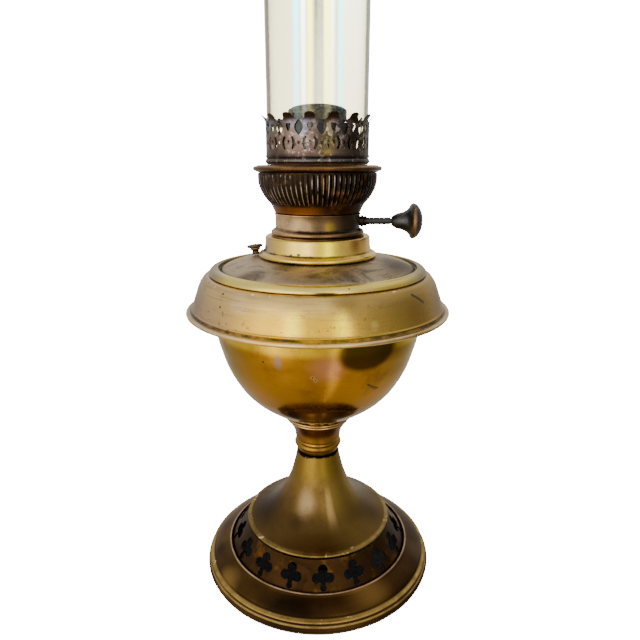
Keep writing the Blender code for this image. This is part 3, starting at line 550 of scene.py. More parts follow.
def skirt_extra(s):
    """Pink-tan left with painted shade at the far left, a yellow lower front that is partly rubbed brass and
    partly painted highlight, brown right, three painted highlights at the front, pits, a scratch and the
    joint's broken line.
    """
    x, y, z = s.xyz()
    s.paint(s.span(x, -0.06, -0.014, 0.9, 0.0), (0.68, 0.46, 0.25))
    s.paint(s.span(z, 0.17, 0.1785, 0.0, 0.65), (0.82, 0.58, 0.24))
    s.paint(s.span(x, 0.002, 0.016, 0.0, 0.85), (0.44, 0.285, 0.07))
    # painted shade: darker towards the far left edge
    s.paint(s.span(x, -0.066, -0.048, 0.75, 0.0), (0.34, 0.225, 0.115))
    low = s.span(z, 0.166, 0.177, 1.0, 0.0)
    front = s.span(y, -0.066, -0.05, 1.0, 0.0)
    cloud = s.span(s.noise(44, 5, 0.6), 0.3, 0.6, 0.35, 1.0)
    # partly rubbed brass, partly painted highlight: yellow across the lower front
    rub_and_highlight = s.times(s.times(low, front), cloud)
    rub_and_highlight = s.times(rub_and_highlight, s.span(x, 0.01, 0.026, 1.0, 0.25))
    s.paint(rub_and_highlight, (1.0, 0.58, 0.018), 0.75)
    brown = (0.42, 0.235, 0.045)
    s.patches([
        ((50, -45, 169), 15, brown, 0.75, 0.9, 0.8, (1, 1, 0.8)),
        ((64, -24, 170), 16, (0.24, 0.155, 0.075), 0.8, 0.9, 0.8, (1, 1.2, 0.9)),
        # painted shade at the left edge
        ((-64, -22, 170), 16, (0.3, 0.2, 0.115), 0.8, 0.9, 0.8, (1, 1.2, 0.9)),
        ((-38, 55, 170), 18, brown, 0.5, 0.9, 0.8, (1, 1, 0.7)),
        ((-35, -52, 176), 9, (0.98, 0.7, 0.38), 0.75, 0.9, 0.6, (1, 1, 0.8)),
        ((13, -62.5, 176), 10, (0.25, 0.16, 0.04), 0.75, 0.9, 0.6, (1, 1, 0.8)),
        # painted highlights: three bright spots on the front
        ((11, -66.6, 168.5), 8.5, (0.88, 0.66, 0.002), 1.0, 0.85, 0.4, (0.8, 1, 1.15)),
        ((-10.5, -66.5, 168.5), 8, (1.0, 0.76, 0.05), 0.9, 0.9, 0.4, (0.9, 1, 1.3)),
        ((26, -62.4, 168.2), 3.0, (1.0, 0.72, 0.2), 0.5, 0.9, 0.9, (1, 1, 1.1))])
    specks = s.times(s.span(s.noise(330, 4, 0.75), 0.6, 0.67), s.span(z, 0.164, 0.182, 1.0, 0.15))
    s.paint(specks, (0.16, 0.075, 0.02), 0.75)
    streaks = s.noise(26, 5, 0.7, s.scaled(1, 1, 26))
    s.paint(s.span(streaks, 0.5, 0.66, 0.0, 0.48), (0.36, 0.225, 0.085))
    stains = s.noise(38, 6, 0.72, s.scaled(1, 1, 2.2), distortion=0.8)
    s.paint(s.span(stains, 0.52, 0.68, 0.0, 0.45), (0.4, 0.255, 0.11))
    s.marks([(-45.0, -44.5, 178.7), (-46.3, -47.0, 172.9)], 0.72)
    s.marks([(-45.9, -45.8, 176.1), (-45.5, -45.1, 177.3), (4.8, -67.7, 167.4)], 0.35)
    s.marks(between((45.2, -44.7, 178.3), (51.4, -40.8, 173.8), 9), 1.0, (0.17, 0.11, 0.055))
    s.chips(180.6, 0.35, (0.95, 0.8, 0.58), 0.6, 150)
    s.bands([(163.0, 0.35, 0.35, 0.95)], (0.07, 0.046, 0.02))
    s.bands([(162.0, 0.25, 0.3, 0.8), (160.6, 0.4, 0.4, 0.6)], (0.95, 0.74, 0.44))
    shiny = s.plus(s.blob((11, -66.6, 168.5), 13, 0.8), s.blob((-10.5, -66.5, 168.5), 13, 0.8))
    return s.times(shiny, -0.13)


def dome_extra(s):
    """Shoulder ring brighter at its front, partly its tone and partly painted highlight, with painted shade
    at its left and right ends, a black groove, dark cloudy patches on the dome and painted shade in the
    joint at the front.
    """
    r = s.radius()
    x = s.xyz()[0]
    ring = s.span(r, 0.0532, 0.0542, 0.0, 1.0)
    cloudy = s.span(s.noise(42, 7, 0.72, distortion=1.0), 0.48, 0.66)
    cloudy = s.times(cloudy, s.span(r, 0.05, 0.0535, 0.75, 0.15))
    dark = (0.085, 0.062, 0.038)
    s.paint(cloudy, dark)
    s.patches([
        ((-15, -30, 189.5), 9, dark, 0.7, 0.9, 0.8, (1.3, 1, 1)),
        ((-2, -44, 187.5), 6, dark, 0.6, 0.9, 0.8, (1.6, 0.7, 1)),
        ((43, -14, 186.5), 19, dark, 0.8, 0.9, 0.6, (1, 1.5, 1)),
        ((-34, -36, 186), 11, dark, 0.75, 0.9, 0.7, (1.2, 0.8, 1)),
        ((20, 38, 188), 14, dark, 0.6, 0.9, 0.8, (1.4, 1, 1))])
    groove = s.band(r, 0.0531, 0.0006, 0.0011)
    s.paint(groove, (0.028, 0.02, 0.012))
    # partly the ring's tone, partly painted highlight: gold strongest at the front
    bright = s.span(s.noise(70, 5), 0.3, 0.7, 0.7, 1.0)
    ends = s.span(s.math("ABSOLUTE", x), 0.04, 0.054, 1.0, 0.45)
    bright = s.times(s.times(ring, bright), ends)
    s.paint(bright, (1.0, 0.75, 0.14))
    # painted shade at the ring's left and right ends
    ring_end_shade = s.times(ring, s.span(s.math("ABSOLUTE", x), 0.042, 0.056, 0.0, 0.7))
    s.paint(ring_end_shade, (0.15, 0.118, 0.075))
    s.marks([(14.5, -56.6, 183.9)], 0.5)
    # painted shade in the joint under the ring at the front
    s.patches([((4, -59, 182.2), 7, (0.05, 0.033, 0.018), 0.9, 0.5, 0.4, (1, 1, 0.09))])
    return s.times(ring, -0.14)


def collar_extra(s):
    """Orange brown on the side towards the knob, a painted highlight at the front and dark lines at the
    flange.
    """
    x = s.xyz()[0]
    wall = s.span(s.xyz()[2], 0.1932, 0.1945)
    orange = s.times(s.span(x, 0.012, 0.024), wall)
    s.paint(orange, (1.0, 0.58, 0.17), 0.85)
    s.patches([
        # painted highlight: saturated gold spot on the front
        ((5, -28, 198), 8, (1.0, 0.8, 0.004), 1.0, 0.8, 0.4, (1, 1, 1.6)),
        ((-26, -12, 197), 12, (0.58, 0.41, 0.28), 0.8, 0.9, 0.4),
        ((20, -21, 199.5), 5, (0.36, 0.15, 0.03), 0.7, 0.9, 0.9, (1, 1, 1.2))])
    s.bands([(193.6, 0.2, 0.4, 0.95), (190.3, 0.2, 0.4, 0.95)], (0.06, 0.04, 0.02))
    s.chips(194.3, 0.5, (0.05, 0.033, 0.018), 0.6, 90)
    s.bands([(200.9, 0.3, 0.4, 0.4)], (0.3, 0.2, 0.09))


def neck_extra(s):
    """Pink-tan left, brown front with a painted highlight, black end under the ferrule and a dark bead."""
    x = s.xyz()[0]
    s.paint(s.span(x, -0.018, -0.002, 0.0, 0.92), (0.105, 0.064, 0.03))
    patchy = s.span(s.noise(120, 4), 0.5, 0.66)
    s.paint(patchy, (0.17, 0.085, 0.045), 0.5)
    # painted highlight: gold spot on the front
    s.patches([((6.5, -22, 207.5), 4.2, (0.32, 0.21, 0.026), 0.85, 0.9, 0.6, (1, 1, 1.1))])
    s.paint(s.span(x, 0.0085, 0.014, 0.0, 0.9), (0.062, 0.041, 0.023))
    s.bands([(202.3, 0.6, 0.6, 0.95), (205.3, 0.4, 0.5, 0.9)], (0.02, 0.013, 0.008))
    s.bands([(203.6, 0.5, 0.6, 0.6)], (0.34, 0.18, 0.075))


def gallery_extra(s):
    """Blue-grey heated top, a painted reflection at the front and a yellow patch at the back left, dark
    finger tips and a dark knob side.
    """
    x, _, z = s.xyz()
    blue = s.times(s.span(z, 0.249, 0.2535), s.span(s.noise(90, 4), 0.4, 0.58))
    cool = s.span(x, -0.004, 0.01, 1.0, 0.45)
    s.paint(s.times(blue, cool), (0.25, 0.265, 0.36))
    s.patches([
        # painted reflection: yellow spot on the front; the second spot is a yellow patch at the back left
        ((4.5, -26, 246), 6.5, (0.38, 0.29, 0.02), 0.85, 0.9, 0.7, (0.9, 1, 1.8)),
        ((-22, 15, 246), 9, (0.46, 0.3, 0.06), 0.5, 0.9, 0.6, (1, 1, 1.5))])
    s.paint(s.span(x, 0.009, 0.018, 0.0, 0.75), (0.075, 0.05, 0.03))
    spots = s.span(s.noise(260, 4, 0.7), 0.6, 0.66)
    s.paint(spots, (0.035, 0.022, 0.016), 0.7)
    sooty = s.times(s.span(z, 0.243, 0.248), s.span(s.noise(230, 5, 0.72), 0.44, 0.54))
    sooty = s.times(sooty, s.span(x, -0.01, 0.006, 0.15, 0.85))
    low = s.span(z, 0.244, 0.248, 0.5, 0.0)
    s.paint(low, (0.085, 0.055, 0.04))
    s.paint(sooty, (0.034, 0.024, 0.021))
    mottle = s.span(s.noise(140, 5, 0.7), 0.5, 0.6)
    s.paint(mottle, (0.09, 0.062, 0.048), 0.5)
    foot = s.times(s.span(z, 0.2412, 0.2428, 1.0, 0.0), s.span(s.noise(60, 4), 0.35, 0.6, 0.4, 0.9))
    s.paint(foot, (0.105, 0.098, 0.105))
    rubbed = s.times(s.span(s.noise(300, 4, 0.7), 0.56, 0.62), s.span(z, 0.256, 0.258, 1.0, 0.0))
    s.paint(rubbed, (0.66, 0.53, 0.44), 0.55)
    s.bands([(242.1, 0.25, 0.3, 0.9), (242.9, 0.15, 0.3, 0.5)], (0.035, 0.024, 0.02))
    s.bands([(238.2, 0.35, 0.2, 0.8)], (0.74, 0.6, 0.32))
    s.paint(s.span(z, 0.2575, 0.26, 0.0, 0.92), (0.03, 0.018, 0.01))


def basket_extra(s):
    """Orange band round the foot, coppery hints and painted highlights along the bars."""
    z = s.xyz()[2]
    low = s.span(z, 0.2165, 0.2185, 1.0, 0.0)
    side = s.span(s.xyz()[0], -0.004, 0.006, 1.0, 0.15)
    s.paint(s.times(low, side), (0.3, 0.105, 0.018), 0.85)
    hints = s.span(s.noise(120, 4), 0.54, 0.68)
    s.paint(hints, (0.22, 0.09, 0.022), 0.6)
    turn = s.times(s.minus(s.angle(), radians(1.5)), SLOTS / (2 * pi))
    # painted highlights: a light line along each bar
    bar_highlight = s.band(s.math("FRACT", s.plus(turn, SLOTS)), 0.8, 0.05, 0.05)
    rows = s.times(s.span(z, 0.218, 0.219), s.span(z, 0.2325, 0.2335, 1.0, 0.0))
    bar_highlight = s.times(s.times(bar_highlight, rows), s.span(s.noise(150, 4), 0.42, 0.6))
    s.paint(bar_highlight, (0.62, 0.54, 0.46), 0.85)


def rim_extra(s):
    """Orange rubbed roll with dark soot in its groove."""
    soot = s.span(s.noise(75, 5, 0.65), 0.5, 0.66)
    s.paint(soot, (0.06, 0.028, 0.014), 0.7)
    s.bands([(237.0, 0.25, 0.4, 0.6)], (0.42, 0.21, 0.06))


def knob_material():
    """Black lacquer, worn to brown on the rim."""
    s = Shader("black_lacquer", metallic=0.0)
    x = s.xyz()[0]
    worn = s.band(x, 0.0513, 0.0005, 0.0009)
    worn = s.times(worn, s.span(s.noise(130, 4), 0.42, 0.6))
    colour = s.mix(worn, (0.01, 0.009, 0.008), (0.23, 0.12, 0.04))
    s.set(base_color=colour, roughness=s.span(s.noise(300, 4), 0.3, 0.7, 0.28, 0.48),
          normal=s.bump(s.noise(600, 3), 0.12), metallic=s.times(worn, 0.8), coat_weight=0.3,
          coat_roughness=0.25)
    return s.material


def tin_material():
    """Grey, mottled and heat stained tin."""
    s = Shader("tin")
    cloud = s.noise(160, 6, 0.7)
    colour = s.ramp(cloud, (0.34, (0.07, 0.064, 0.11)), (0.48, (0.46, 0.43, 0.66)),
                    (0.62, (0.92, 0.88, 1.0)))
    s.set(base_color=colour, roughness=s.span(cloud, 0.3, 0.7, 0.62, 0.42), normal=s.bump(cloud, 0.35))
    return s.material


def steel_material():
    """Dull grey steel of the hidden fittings."""
    s = Shader("steel")
    cloud = s.noise(90, 5)
    colour = s.ramp(cloud, (0.3, (0.14, 0.13, 0.125)), (0.7, (0.34, 0.33, 0.32)))
    s.set(base_color=colour, roughness=s.span(cloud, 0.3, 0.7, 0.55, 0.38), normal=s.bump(s.noise(700), 0.1))
    return s.material


def cotton_material():
    """Woven wick with a charred end."""
    s = Shader("cotton", metallic=0.0)
    weave = s.times(s.math("SINE", s.times(s.xyz()[2], 5200.0)), s.math("SINE", s.times(s.angle(), 110.0)))
    tone = s.ramp(s.noise(80, 4), (0.3, (0.62, 0.55, 0.42)), (0.7, (0.8, 0.76, 0.66)))
    charred = s.span(s.xyz()[2], 0.247, 0.2492)
    s.set(base_color=s.mix(charred, tone, (0.012, 0.01, 0.009)), roughness=0.95,
          normal=s.bump(weave, 0.5, 0.0002), sheen_weight=0.3)
    return s.material


def cork_material():
    """Cork washer."""
    s = Shader("cork", metallic=0.0)
    grain = s.cells(1500)
    s.set(base_color=s.ramp(grain, (0.1, (0.2, 0.11, 0.05)), (0.6, (0.5, 0.33, 0.18))), roughness=0.9,
          normal=s.bump(grain, 0.4, 0.0001))
    return s.material


def glass_material():
    """Old chimney glass: cream towards its sides, with faint upright streaks; this tint round the lamp is
    painted reflection, with a painted shade band down the middle of the front.
    """
    s = Shader("glass", (0.97, 0.98, 0.965), 0.015, 0.0)
    x, y, z = s.xyz()
    turn = s.span(s.math("ARCTAN2", x, s.times(y, -1.0)), -pi, pi, smooth=False)
    cream, light, clear = (0.46, 0.42, 0.26), (0.64, 0.61, 0.43), (1.0, 1.0, 0.92)
    grey, dull, yellow = (0.045, 0.038, 0.01), (0.34, 0.32, 0.19), (0.86, 0.86, 0.11)
    blue, plain = (0.2, 0.8, 0.9), (0.99, 0.99, 0.97)
    # Painted reflections: white, blue, yellow and cream streaks by angle from the front; the grey band from
    # -2 to 6 degrees is painted shade.
    streaks = ((-180, plain), (-95, plain), (-75, cream), (-27, cream), (-24, blue), (-20, blue),
               (-18, dull), (-16, clear), (-13, clear), (-11, dull), (-9, yellow), (-6, yellow), (-4, dull),
               (-2, grey), (6, grey), (8, yellow), (14, yellow), (16, clear), (19, dull), (21, dull),
               (23, blue), (26, blue), (29, light), (75, light), (95, plain), (180, plain))
    painted_reflection_tint = s.ramp(turn, *(((angle + 180) / 360, tone) for angle, tone in streaks))
    lines = s.noise(120, 3, 0.6, s.scaled(1, 1, 0.015))
    front = s.span(y, -0.004, 0.002, 1.0, 0.0)
    painted_reflection_tint = s.mix(s.times(s.span(lines, 0.54, 0.66, 0.0, 0.14), front), painted_reflection_tint, clear)
    # The front turns cream towards the bottom.
    painted_reflection_tint = s.mix(s.times(s.span(z, 0.262, 0.33, 0.5, 0.0), front), painted_reflection_tint, cream)
    waves = s.noise(18, 2, 0.5, s.scaled(1, 1, 0.12))
    s.set(base_color=painted_reflection_tint, transmission_weight=1.0, ior=1.47, roughness=0.012,
          normal=s.bump(waves, 0.1, 0.0006))
    return s.material


# ---------------------------------------------------------------- foot and stem

def build_foot():
    """Foot flange, pierced ring and trumpet."""
    foot_brass = brass("foot_brass", (0.18, 0.102, 0.026), (0.125, 0.068, 0.017), (0.06, 0.03, 0.008), 0.36,
                       20, extra=foot_extra)
    hem = [(65.6, 0.0), (68.0, 0.0)] + arc(66.75, 2.35, 2.15, -62, 66, 12)
    bead = arc(66.35, 5.75, 1.15, -48, 84, 8)
    top = curve([(65.9, 7.0), (64.9, 7.5), (63.6, 9.0), (61.2, 10.6), (58.4, 11.9), (56.0, 12.9)], 4)
    lip = arc(54.75, 13.7, 0.55, 60, 200, 6)
    under = curve([(54.6, 12.8), (58.2, 10.9), (61.6, 9.3), (63.4, 7.3), (64.7, 4.4), (65.1, 2.0)], 3)
    turned("foot_flange", hem + bead + top + lip + under, 180, foot_brass, "stand", "base_flange",
           wobble(0.1, 0.05, 3))

    ring_brass = brass("air_ring_brass", (0.1, 0.045, 0.012), (0.05, 0.023, 0.007), (0.018, 0.009, 0.003),
                       0.4, 45, extra=ring_extra)
    foot, head = Vector((53.75, 12.9)), Vector((43.5, 26.7))
    along = (head - foot).normalized()
    slope = atan2(-along.x, along.y)
    line = [tuple(foot.lerp(head, i / 8)) for i in range(9)]
    mesh = lathe("air_ring", sheet(line, 0.6), 12 * CLUBS)
    middle = foot.lerp(head, 0.5)
    cutters = bmesh.new()
    for i in range(CLUBS):
        azimuth = radians(3.5) + 2 * pi * i / CLUBS
        place = radial_place(azimuth, middle.x - 4 * cos(slope), middle.y - 4 * sin(slope), slope)
        prism(cutters, club(), place, 8)
    link("air_ring", cut(mesh, cutters), ring_brass, "stand", ["pierced_ring"], 30)

    cone_brass = brass("cone_brass", (0.38, 0.225, 0.062), (0.27, 0.16, 0.042), (0.14, 0.082, 0.021), 0.36,
                       24, extra=cone_extra)
    lip = [(42.6, 27.5)] + arc(42.85, 28.35, 0.85, -70, 110, 8)
    flare = curve([(41.2, 29.6), (36.0, 31.7), (30.0, 35.3), (24.0, 41.3), (19.6, 48.8), (16.8, 55.4),
                   (14.8, 62.0), (13.6, 66.8), (12.8, 70.6), (12.6, 71.7)], 5)
    turned("trumpet", sheet(lip + flare + [(12.0, 72.3), (9.0, 72.35)], 0.8), 144, cone_brass, "stand",
           "stem_cone", wobble(0.07, 0.06, 9))

    bead_brass = brass("bead_brass", (0.52, 0.3, 0.05), (0.35, 0.185, 0.026), (0.12, 0.06, 0.014), 0.27, 40)
    section = [(9.0, 72.9), (11.6, 72.9), (12.3, 74.0)] + arc(11.9, 77.5, 2.0, -70, 70, 10)
    section += [(12.4, 80.1), (12.3, 80.4), (9.0, 80.4)]
    turned("stem_bead", section, 96, bead_brass, "stand", "stem_collar",
           wobble(0.05, 0.12, 5))

    cup_brass = brass("cup_brass", (0.52, 0.28, 0.04), (0.36, 0.175, 0.024), (0.13, 0.055, 0.012), 0.26, 34,
                      extra=cup_extra)
    wall = [(9.0, 80.8), (12.9, 80.8), (13.2, 81.3)]
    wall += curve([(13.3, 82.2), (13.6, 84.4), (14.2, 86.6), (15.2, 88.8), (16.5, 90.8), (17.9, 92.7)], 4)
    wall += arc(18.1, 93.6, 0.5, -50, 60, 4) + curve([(18.7, 94.3), (19.5, 95.2)], 3)
    wall += arc(19.75, 95.9, 0.55, -50, 60, 4) + curve([(20.4, 96.6), (21.1, 97.7)], 3)
    wall += arc(21.7, 98.5, 0.7, -60, 100, 5)
    wall += [(19.8, 98.4), (15.6, 94.2), (9.0, 93.8)]
    turned("socket", wall, 96, cup_brass, "stand", "socket_cup", wobble(0.05, 0.1, 7))


def build_weight():
    """Iron ring in the foot."""
    s = Shader("iron", metallic=0.0)
    cloud = s.noise(70, 6, 0.7)
    s.set(base_color=s.ramp(cloud, (0.3, (0.016, 0.018, 0.021)), (0.7, (0.045, 0.047, 0.05))),
          roughness=0.8, normal=s.bump(cloud, 0.5, 0.0006))
    section = [(24.3, 0.9), (63.8, 0.9), (63.6, 3.3), (63.2, 3.7), (24.8, 3.7), (24.3, 3.3)]
    turned("iron_ring", section, 96, s.material, "stand", "foot_weight", wobble(0.1, 0.2, 15))


def club():
    """Outline of a playing-card club with its stalk down."""
    top = arc(0, 3.5, 2.8, -32, 212, 12)
    left = arc(-3.5, -0.6, 2.75, 78, 305, 12)
    stalk = [(-1.35, -3.0), (-1.25, -4.3)] + arc(0, -5.6, 1.8, 160, 380, 8) + [(1.25, -4.3), (1.35, -3.0)]
    right = [(-u, v) for u, v in reversed(left)]
    return top + left + stalk + right


def build_bowl():
    """Bowl and skirt."""
    amber = brass("bowl_brass", (0.7, 0.37, 0.014), (0.57, 0.27, 0.01), (0.35, 0.155, 0.007), 0.09, 18,
                  brushed=0.03, pits=0.5, extra=bowl_extra, coat=0.08)
    outer = [(9.0, 99.7), (22.6, 99.7)]
    outer += curve([(25.6, 100.6), (31.3, 104.5), (36.9, 108.9), (41.0, 113.1), (44.4, 117.3), (49.1, 125.2),
                    (52.4, 132.8), (54.6, 140.2), (56.1, 145.7), (57.2, 153.0), (57.7, 163.0)], 5)
    outer += [(57.75, 170.0), (57.75, 176.9)]
    turned("bowl_shell", sheet(outer, 0.8), 180, amber, "stand", "bowl",
           wobble(0.1, 0.03, 11))

    tan_brass = brass("skirt_brass", (0.94, 0.6, 0.06), (0.8, 0.5, 0.045), (0.47, 0.28, 0.035), 0.31, 16,
                      brushed=0.09, extra=skirt_extra)
    seat = [(58.2, 178.8), (58.25, 181.2)]
    shoulder = curve([(59.0, 181.4), (60.4, 181.2), (61.5, 180.7), (62.8, 179.3), (64.4, 176.9),
                      (65.6, 173.9), (66.6, 171.0), (67.5, 168.5), (68.2, 166.4), (68.8, 164.6)], 5)
    groove = arc(69.15, 164.0, 0.45, 20, -80, 4) + [(69.6, 163.1), (70.2, 162.45)]
    roll = arc(71.3, 161.3, 1.12, 75, -150, 12)
    inner = curve([(69.5, 162.3), (68.2, 163.7), (67.0, 166.6), (65.2, 172.2), (62.2, 178.3), (61.0, 179.8),
                   (59.2, 180.2)], 3)
    section = seat + shoulder + groove + roll + inner
    turned("skirt_ring", section, 216, tan_brass, "stand", "skirt", wobble(0.09, 0.035, 2))


# ---------------------------------------------------------------- font

def build_font():
    """Dome, collar, filler and draught tube."""
    grey_brass = brass("dome_brass", (0.7, 0.54, 0.34), (0.54, 0.41, 0.25), (0.26, 0.19, 0.115), 0.42, 22,
                       extra=dome_extra)
    ring = [(58.3, 181.7), (58.95, 181.75)]
    ring += curve([(59.25, 182.15), (58.9, 183.2), (58.0, 184.3), (56.8, 184.95), (55.4, 185.1)], 4)
    ring += arc(54.4, 184.75, 0.4, 80, 190, 4)
    groove = [(53.7, 183.6), (53.2, 183.3), (52.7, 183.45)]
    dome = curve([(52.2, 184.0), (50.6, 185.05), (48.0, 186.0), (44.0, 187.2), (38.0, 188.6),
                  (33.0, 189.6)], 5)
    under = [(25.2, 189.7), (25.2, 189.1), (33.0, 188.9), (47.6, 185.3), (51.8, 182.8), (56.2, 182.8),
             (57.6, 181.9)]
    turned("font_top", ring + groove + dome + under, 180, grey_brass, "font", "font_dome",
           wobble(0.1, 0.04, 6))

    cream = brass("collar_brass", (1.0, 0.76, 0.2), (0.98, 0.68, 0.12), (0.52, 0.32, 0.08), 0.25, 30,
                  extra=collar_extra)
    flange = [(24.8, 190.1), (31.0, 190.1)] + arc(30.9, 191.3, 1.15, -60, 70, 8)
    flange += curve([(31.0, 192.5), (30.2, 192.9), (29.3, 193.5), (28.9, 194.2)], 3)
    wall = [(28.6, 196.0), (28.3, 200.1)] + arc(27.2, 200.35, 1.05, 0, 90, 6)
    wall += [(25.9, 201.3), (25.1, 201.0), (24.8, 200.3)]
    turned("collar", flange + wall, 144, cream, "font", "font_collar",
           wobble(0.05, 0.06, 8))

    build_filler()

    line = [(14.8, 107.1), (29.5, 107.6)]
    line += curve([(32.0, 108.3), (36.0, 111.2), (43.0, 120.2), (48.9, 132.0), (52.2, 146.0), (53.2, 160.0),
                   (53.3, 172.0)], 4)
    line += [(53.3, 182.3)]
    hidden = brass("tank_brass", (0.62, 0.42, 0.14), (0.46, 0.29, 0.08), (0.2, 0.12, 0.035), 0.36, 34)
    turned("tank", sheet(line, 0.7), 144, hidden, "font", "font_body", wobble(0.05, 0.05, 5))

    tube_brass = brass("tube_brass", (0.34, 0.27, 0.13), (0.2, 0.15, 0.07), (0.07, 0.05, 0.025), 0.38, 60)
    section = [(14.4, 104.5), (14.4, 257.7), (14.2, 258.0), (13.8, 258.0), (13.6, 257.7), (13.6, 104.5)]
    turned("air_core", section, 72, tube_brass, "font", "draught_tube")


def build_filler():
    """Filler neck and its cap, leaning outwards."""
    azimuth, tilt = radians(171.5), radians(7)
    out = Vector((cos(azimuth), sin(azimuth), 0))
    axis = Vector((0, 0, 1)) * cos(tilt) + out * sin(tilt)
    foot = out * 34.7 + Vector((0, 0, 189.6))
    place = Matrix.Translation(foot * MM) @ axis.to_track_quat("Z", "Y").to_matrix().to_4x4()
    neck = [(1.55, 0.4), (2.4, 0.4)]
    neck += curve([(2.35, 0.8), (1.95, 1.4), (1.9, 2.2), (2.4, 2.75), (2.85, 2.95)], 4)
    neck += [(2.9, 3.2), (2.7, 3.3), (1.55, 3.3)]
    cap = [(0, 1.0), (1.0, 1.0), (1.15, 1.2), (1.15, 4.0), (3.4, 4.0)]
    cap += curve([(4.0, 4.15), (4.45, 4.7), (4.45, 5.1), (4.1, 5.5), (3.4, 5.68), (2.6, 5.6), (0, 5.75)], 4)
    dark = brass("cap_brass", (0.2, 0.14, 0.08), (0.1, 0.068, 0.038), (0.035, 0.024, 0.014), 0.36, 90)
    for name, section, material, body, node, slot in (
            ("filler_tube", neck, dark, "font", "filler_neck", "collar_brass"),
            ("cap_disc", cap, dark, "cap", "filler_cap", "foot_brass")):
        mesh = lathe(name, section, 48)
        mesh.transform(place)
        link(name, mesh, material, body, [node])


# ---------------------------------------------------------------- burner

def build_burner():
    """Neck, basket, rim and wick tubes."""
    pinkish = brass("neck_brass", (0.9, 0.62, 0.36), (0.78, 0.52, 0.27), (0.4, 0.24, 0.12), 0.3, 50,
                    extra=neck_extra)
    thread = [(22.7, 193.1), (23.6, 193.1)]
    for i in range(4):
        z = 194.0 + 1.6 * i
        thread += [(23.6, z), (24.1, z + 0.45), (24.1, z + 0.7), (23.6, z + 1.15)]
    bead = [(23.6, 201.7), (23.8, 201.8)] + arc(23.6, 203.25, 1.42, -68, 60, 12)
    neck = [(23.9, 204.7), (23.1, 205.0), (22.8, 205.4), (22.75, 209.0), (22.8, 212.4), (23.05, 212.8),
            (23.0, 213.2), (22.6, 213.4)]
    inner = [(22.2, 213.3), (22.2, 204.0), (22.7, 202.0)]
    mesh = lathe("burner_base", thread + bead + neck + inner, 120, wobble(0.05, 0.07, 4))
    cutters = bmesh.new()
    prism(cutters, arc(0, 0, 3.0, 0, 345, 23), radial_place(pi / 2, 20, SHAFT_Z), 6)
    link("burner_base", cut(mesh, cutters), pinkish, "burner", ["burner_neck"], 35)

    bronze = brass("burner_bronze", (0.055, 0.032, 0.017), (0.032, 0.02, 0.012), (0.012, 0.008, 0.006),
                   0.34, 90, extra=basket_extra)
    plain = brass("burner_dark", (0.07, 0.05, 0.034), (0.04, 0.03, 0.022), (0.015, 0.011, 0.008), 0.34, 90)
    link("air_basket", basket_mesh(), bronze, "burner", ["basket"], 35)

    coppery = brass("rim_brass", (0.21, 0.125, 0.058), (0.135, 0.07, 0.027), (0.05, 0.023, 0.009), 0.28, 60,
                    extra=rim_extra)
    low = [(29.9, 233.0), (30.5, 233.0), (30.55, 234.1), (31.3, 234.2)]
    low += curve([(31.8, 234.5), (32.4, 234.75), (32.9, 234.9)], 2)
    roll = arc(32.65, 236.1, 1.2, -70, 110, 10)
    top = curve([(32.0, 237.3), (31.7, 237.5), (31.4, 237.7), (31.1, 237.78)], 3)
    top += [(30.8, 237.82), (27.6, 237.82), (23.2, 237.8)]
    inner = [(23.2, 236.7), (27.8, 236.4), (29.9, 236.2)]
    turned("brim", low + roll + top + inner, 144, coppery, "burner", "basket_rim",
           wobble(0.05, 0.06, 13))

    section = [(17.6, 209.6), (18.3, 209.6), (18.3, 257.7), (18.1, 258.0), (17.8, 258.0), (17.6, 257.7)]
    turned("wick_sleeve", section, 84, plain, "burner", "outer_wick_tube")
    dress("air_plate", plain)

    bush = [(1.98, 0.1), (2.6, 0.1), (2.6, 1.55), (3.2, 1.6), (3.25, 2.4), (2.85, 2.75), (2.45, 3.1),
            (2.6, 3.5), (2.75, 4.2), (2.6, 4.65), (1.98, 4.65)]
    along_x("ferrule", bush, 40, 21.8, plain, "burner", "shaft_bush")


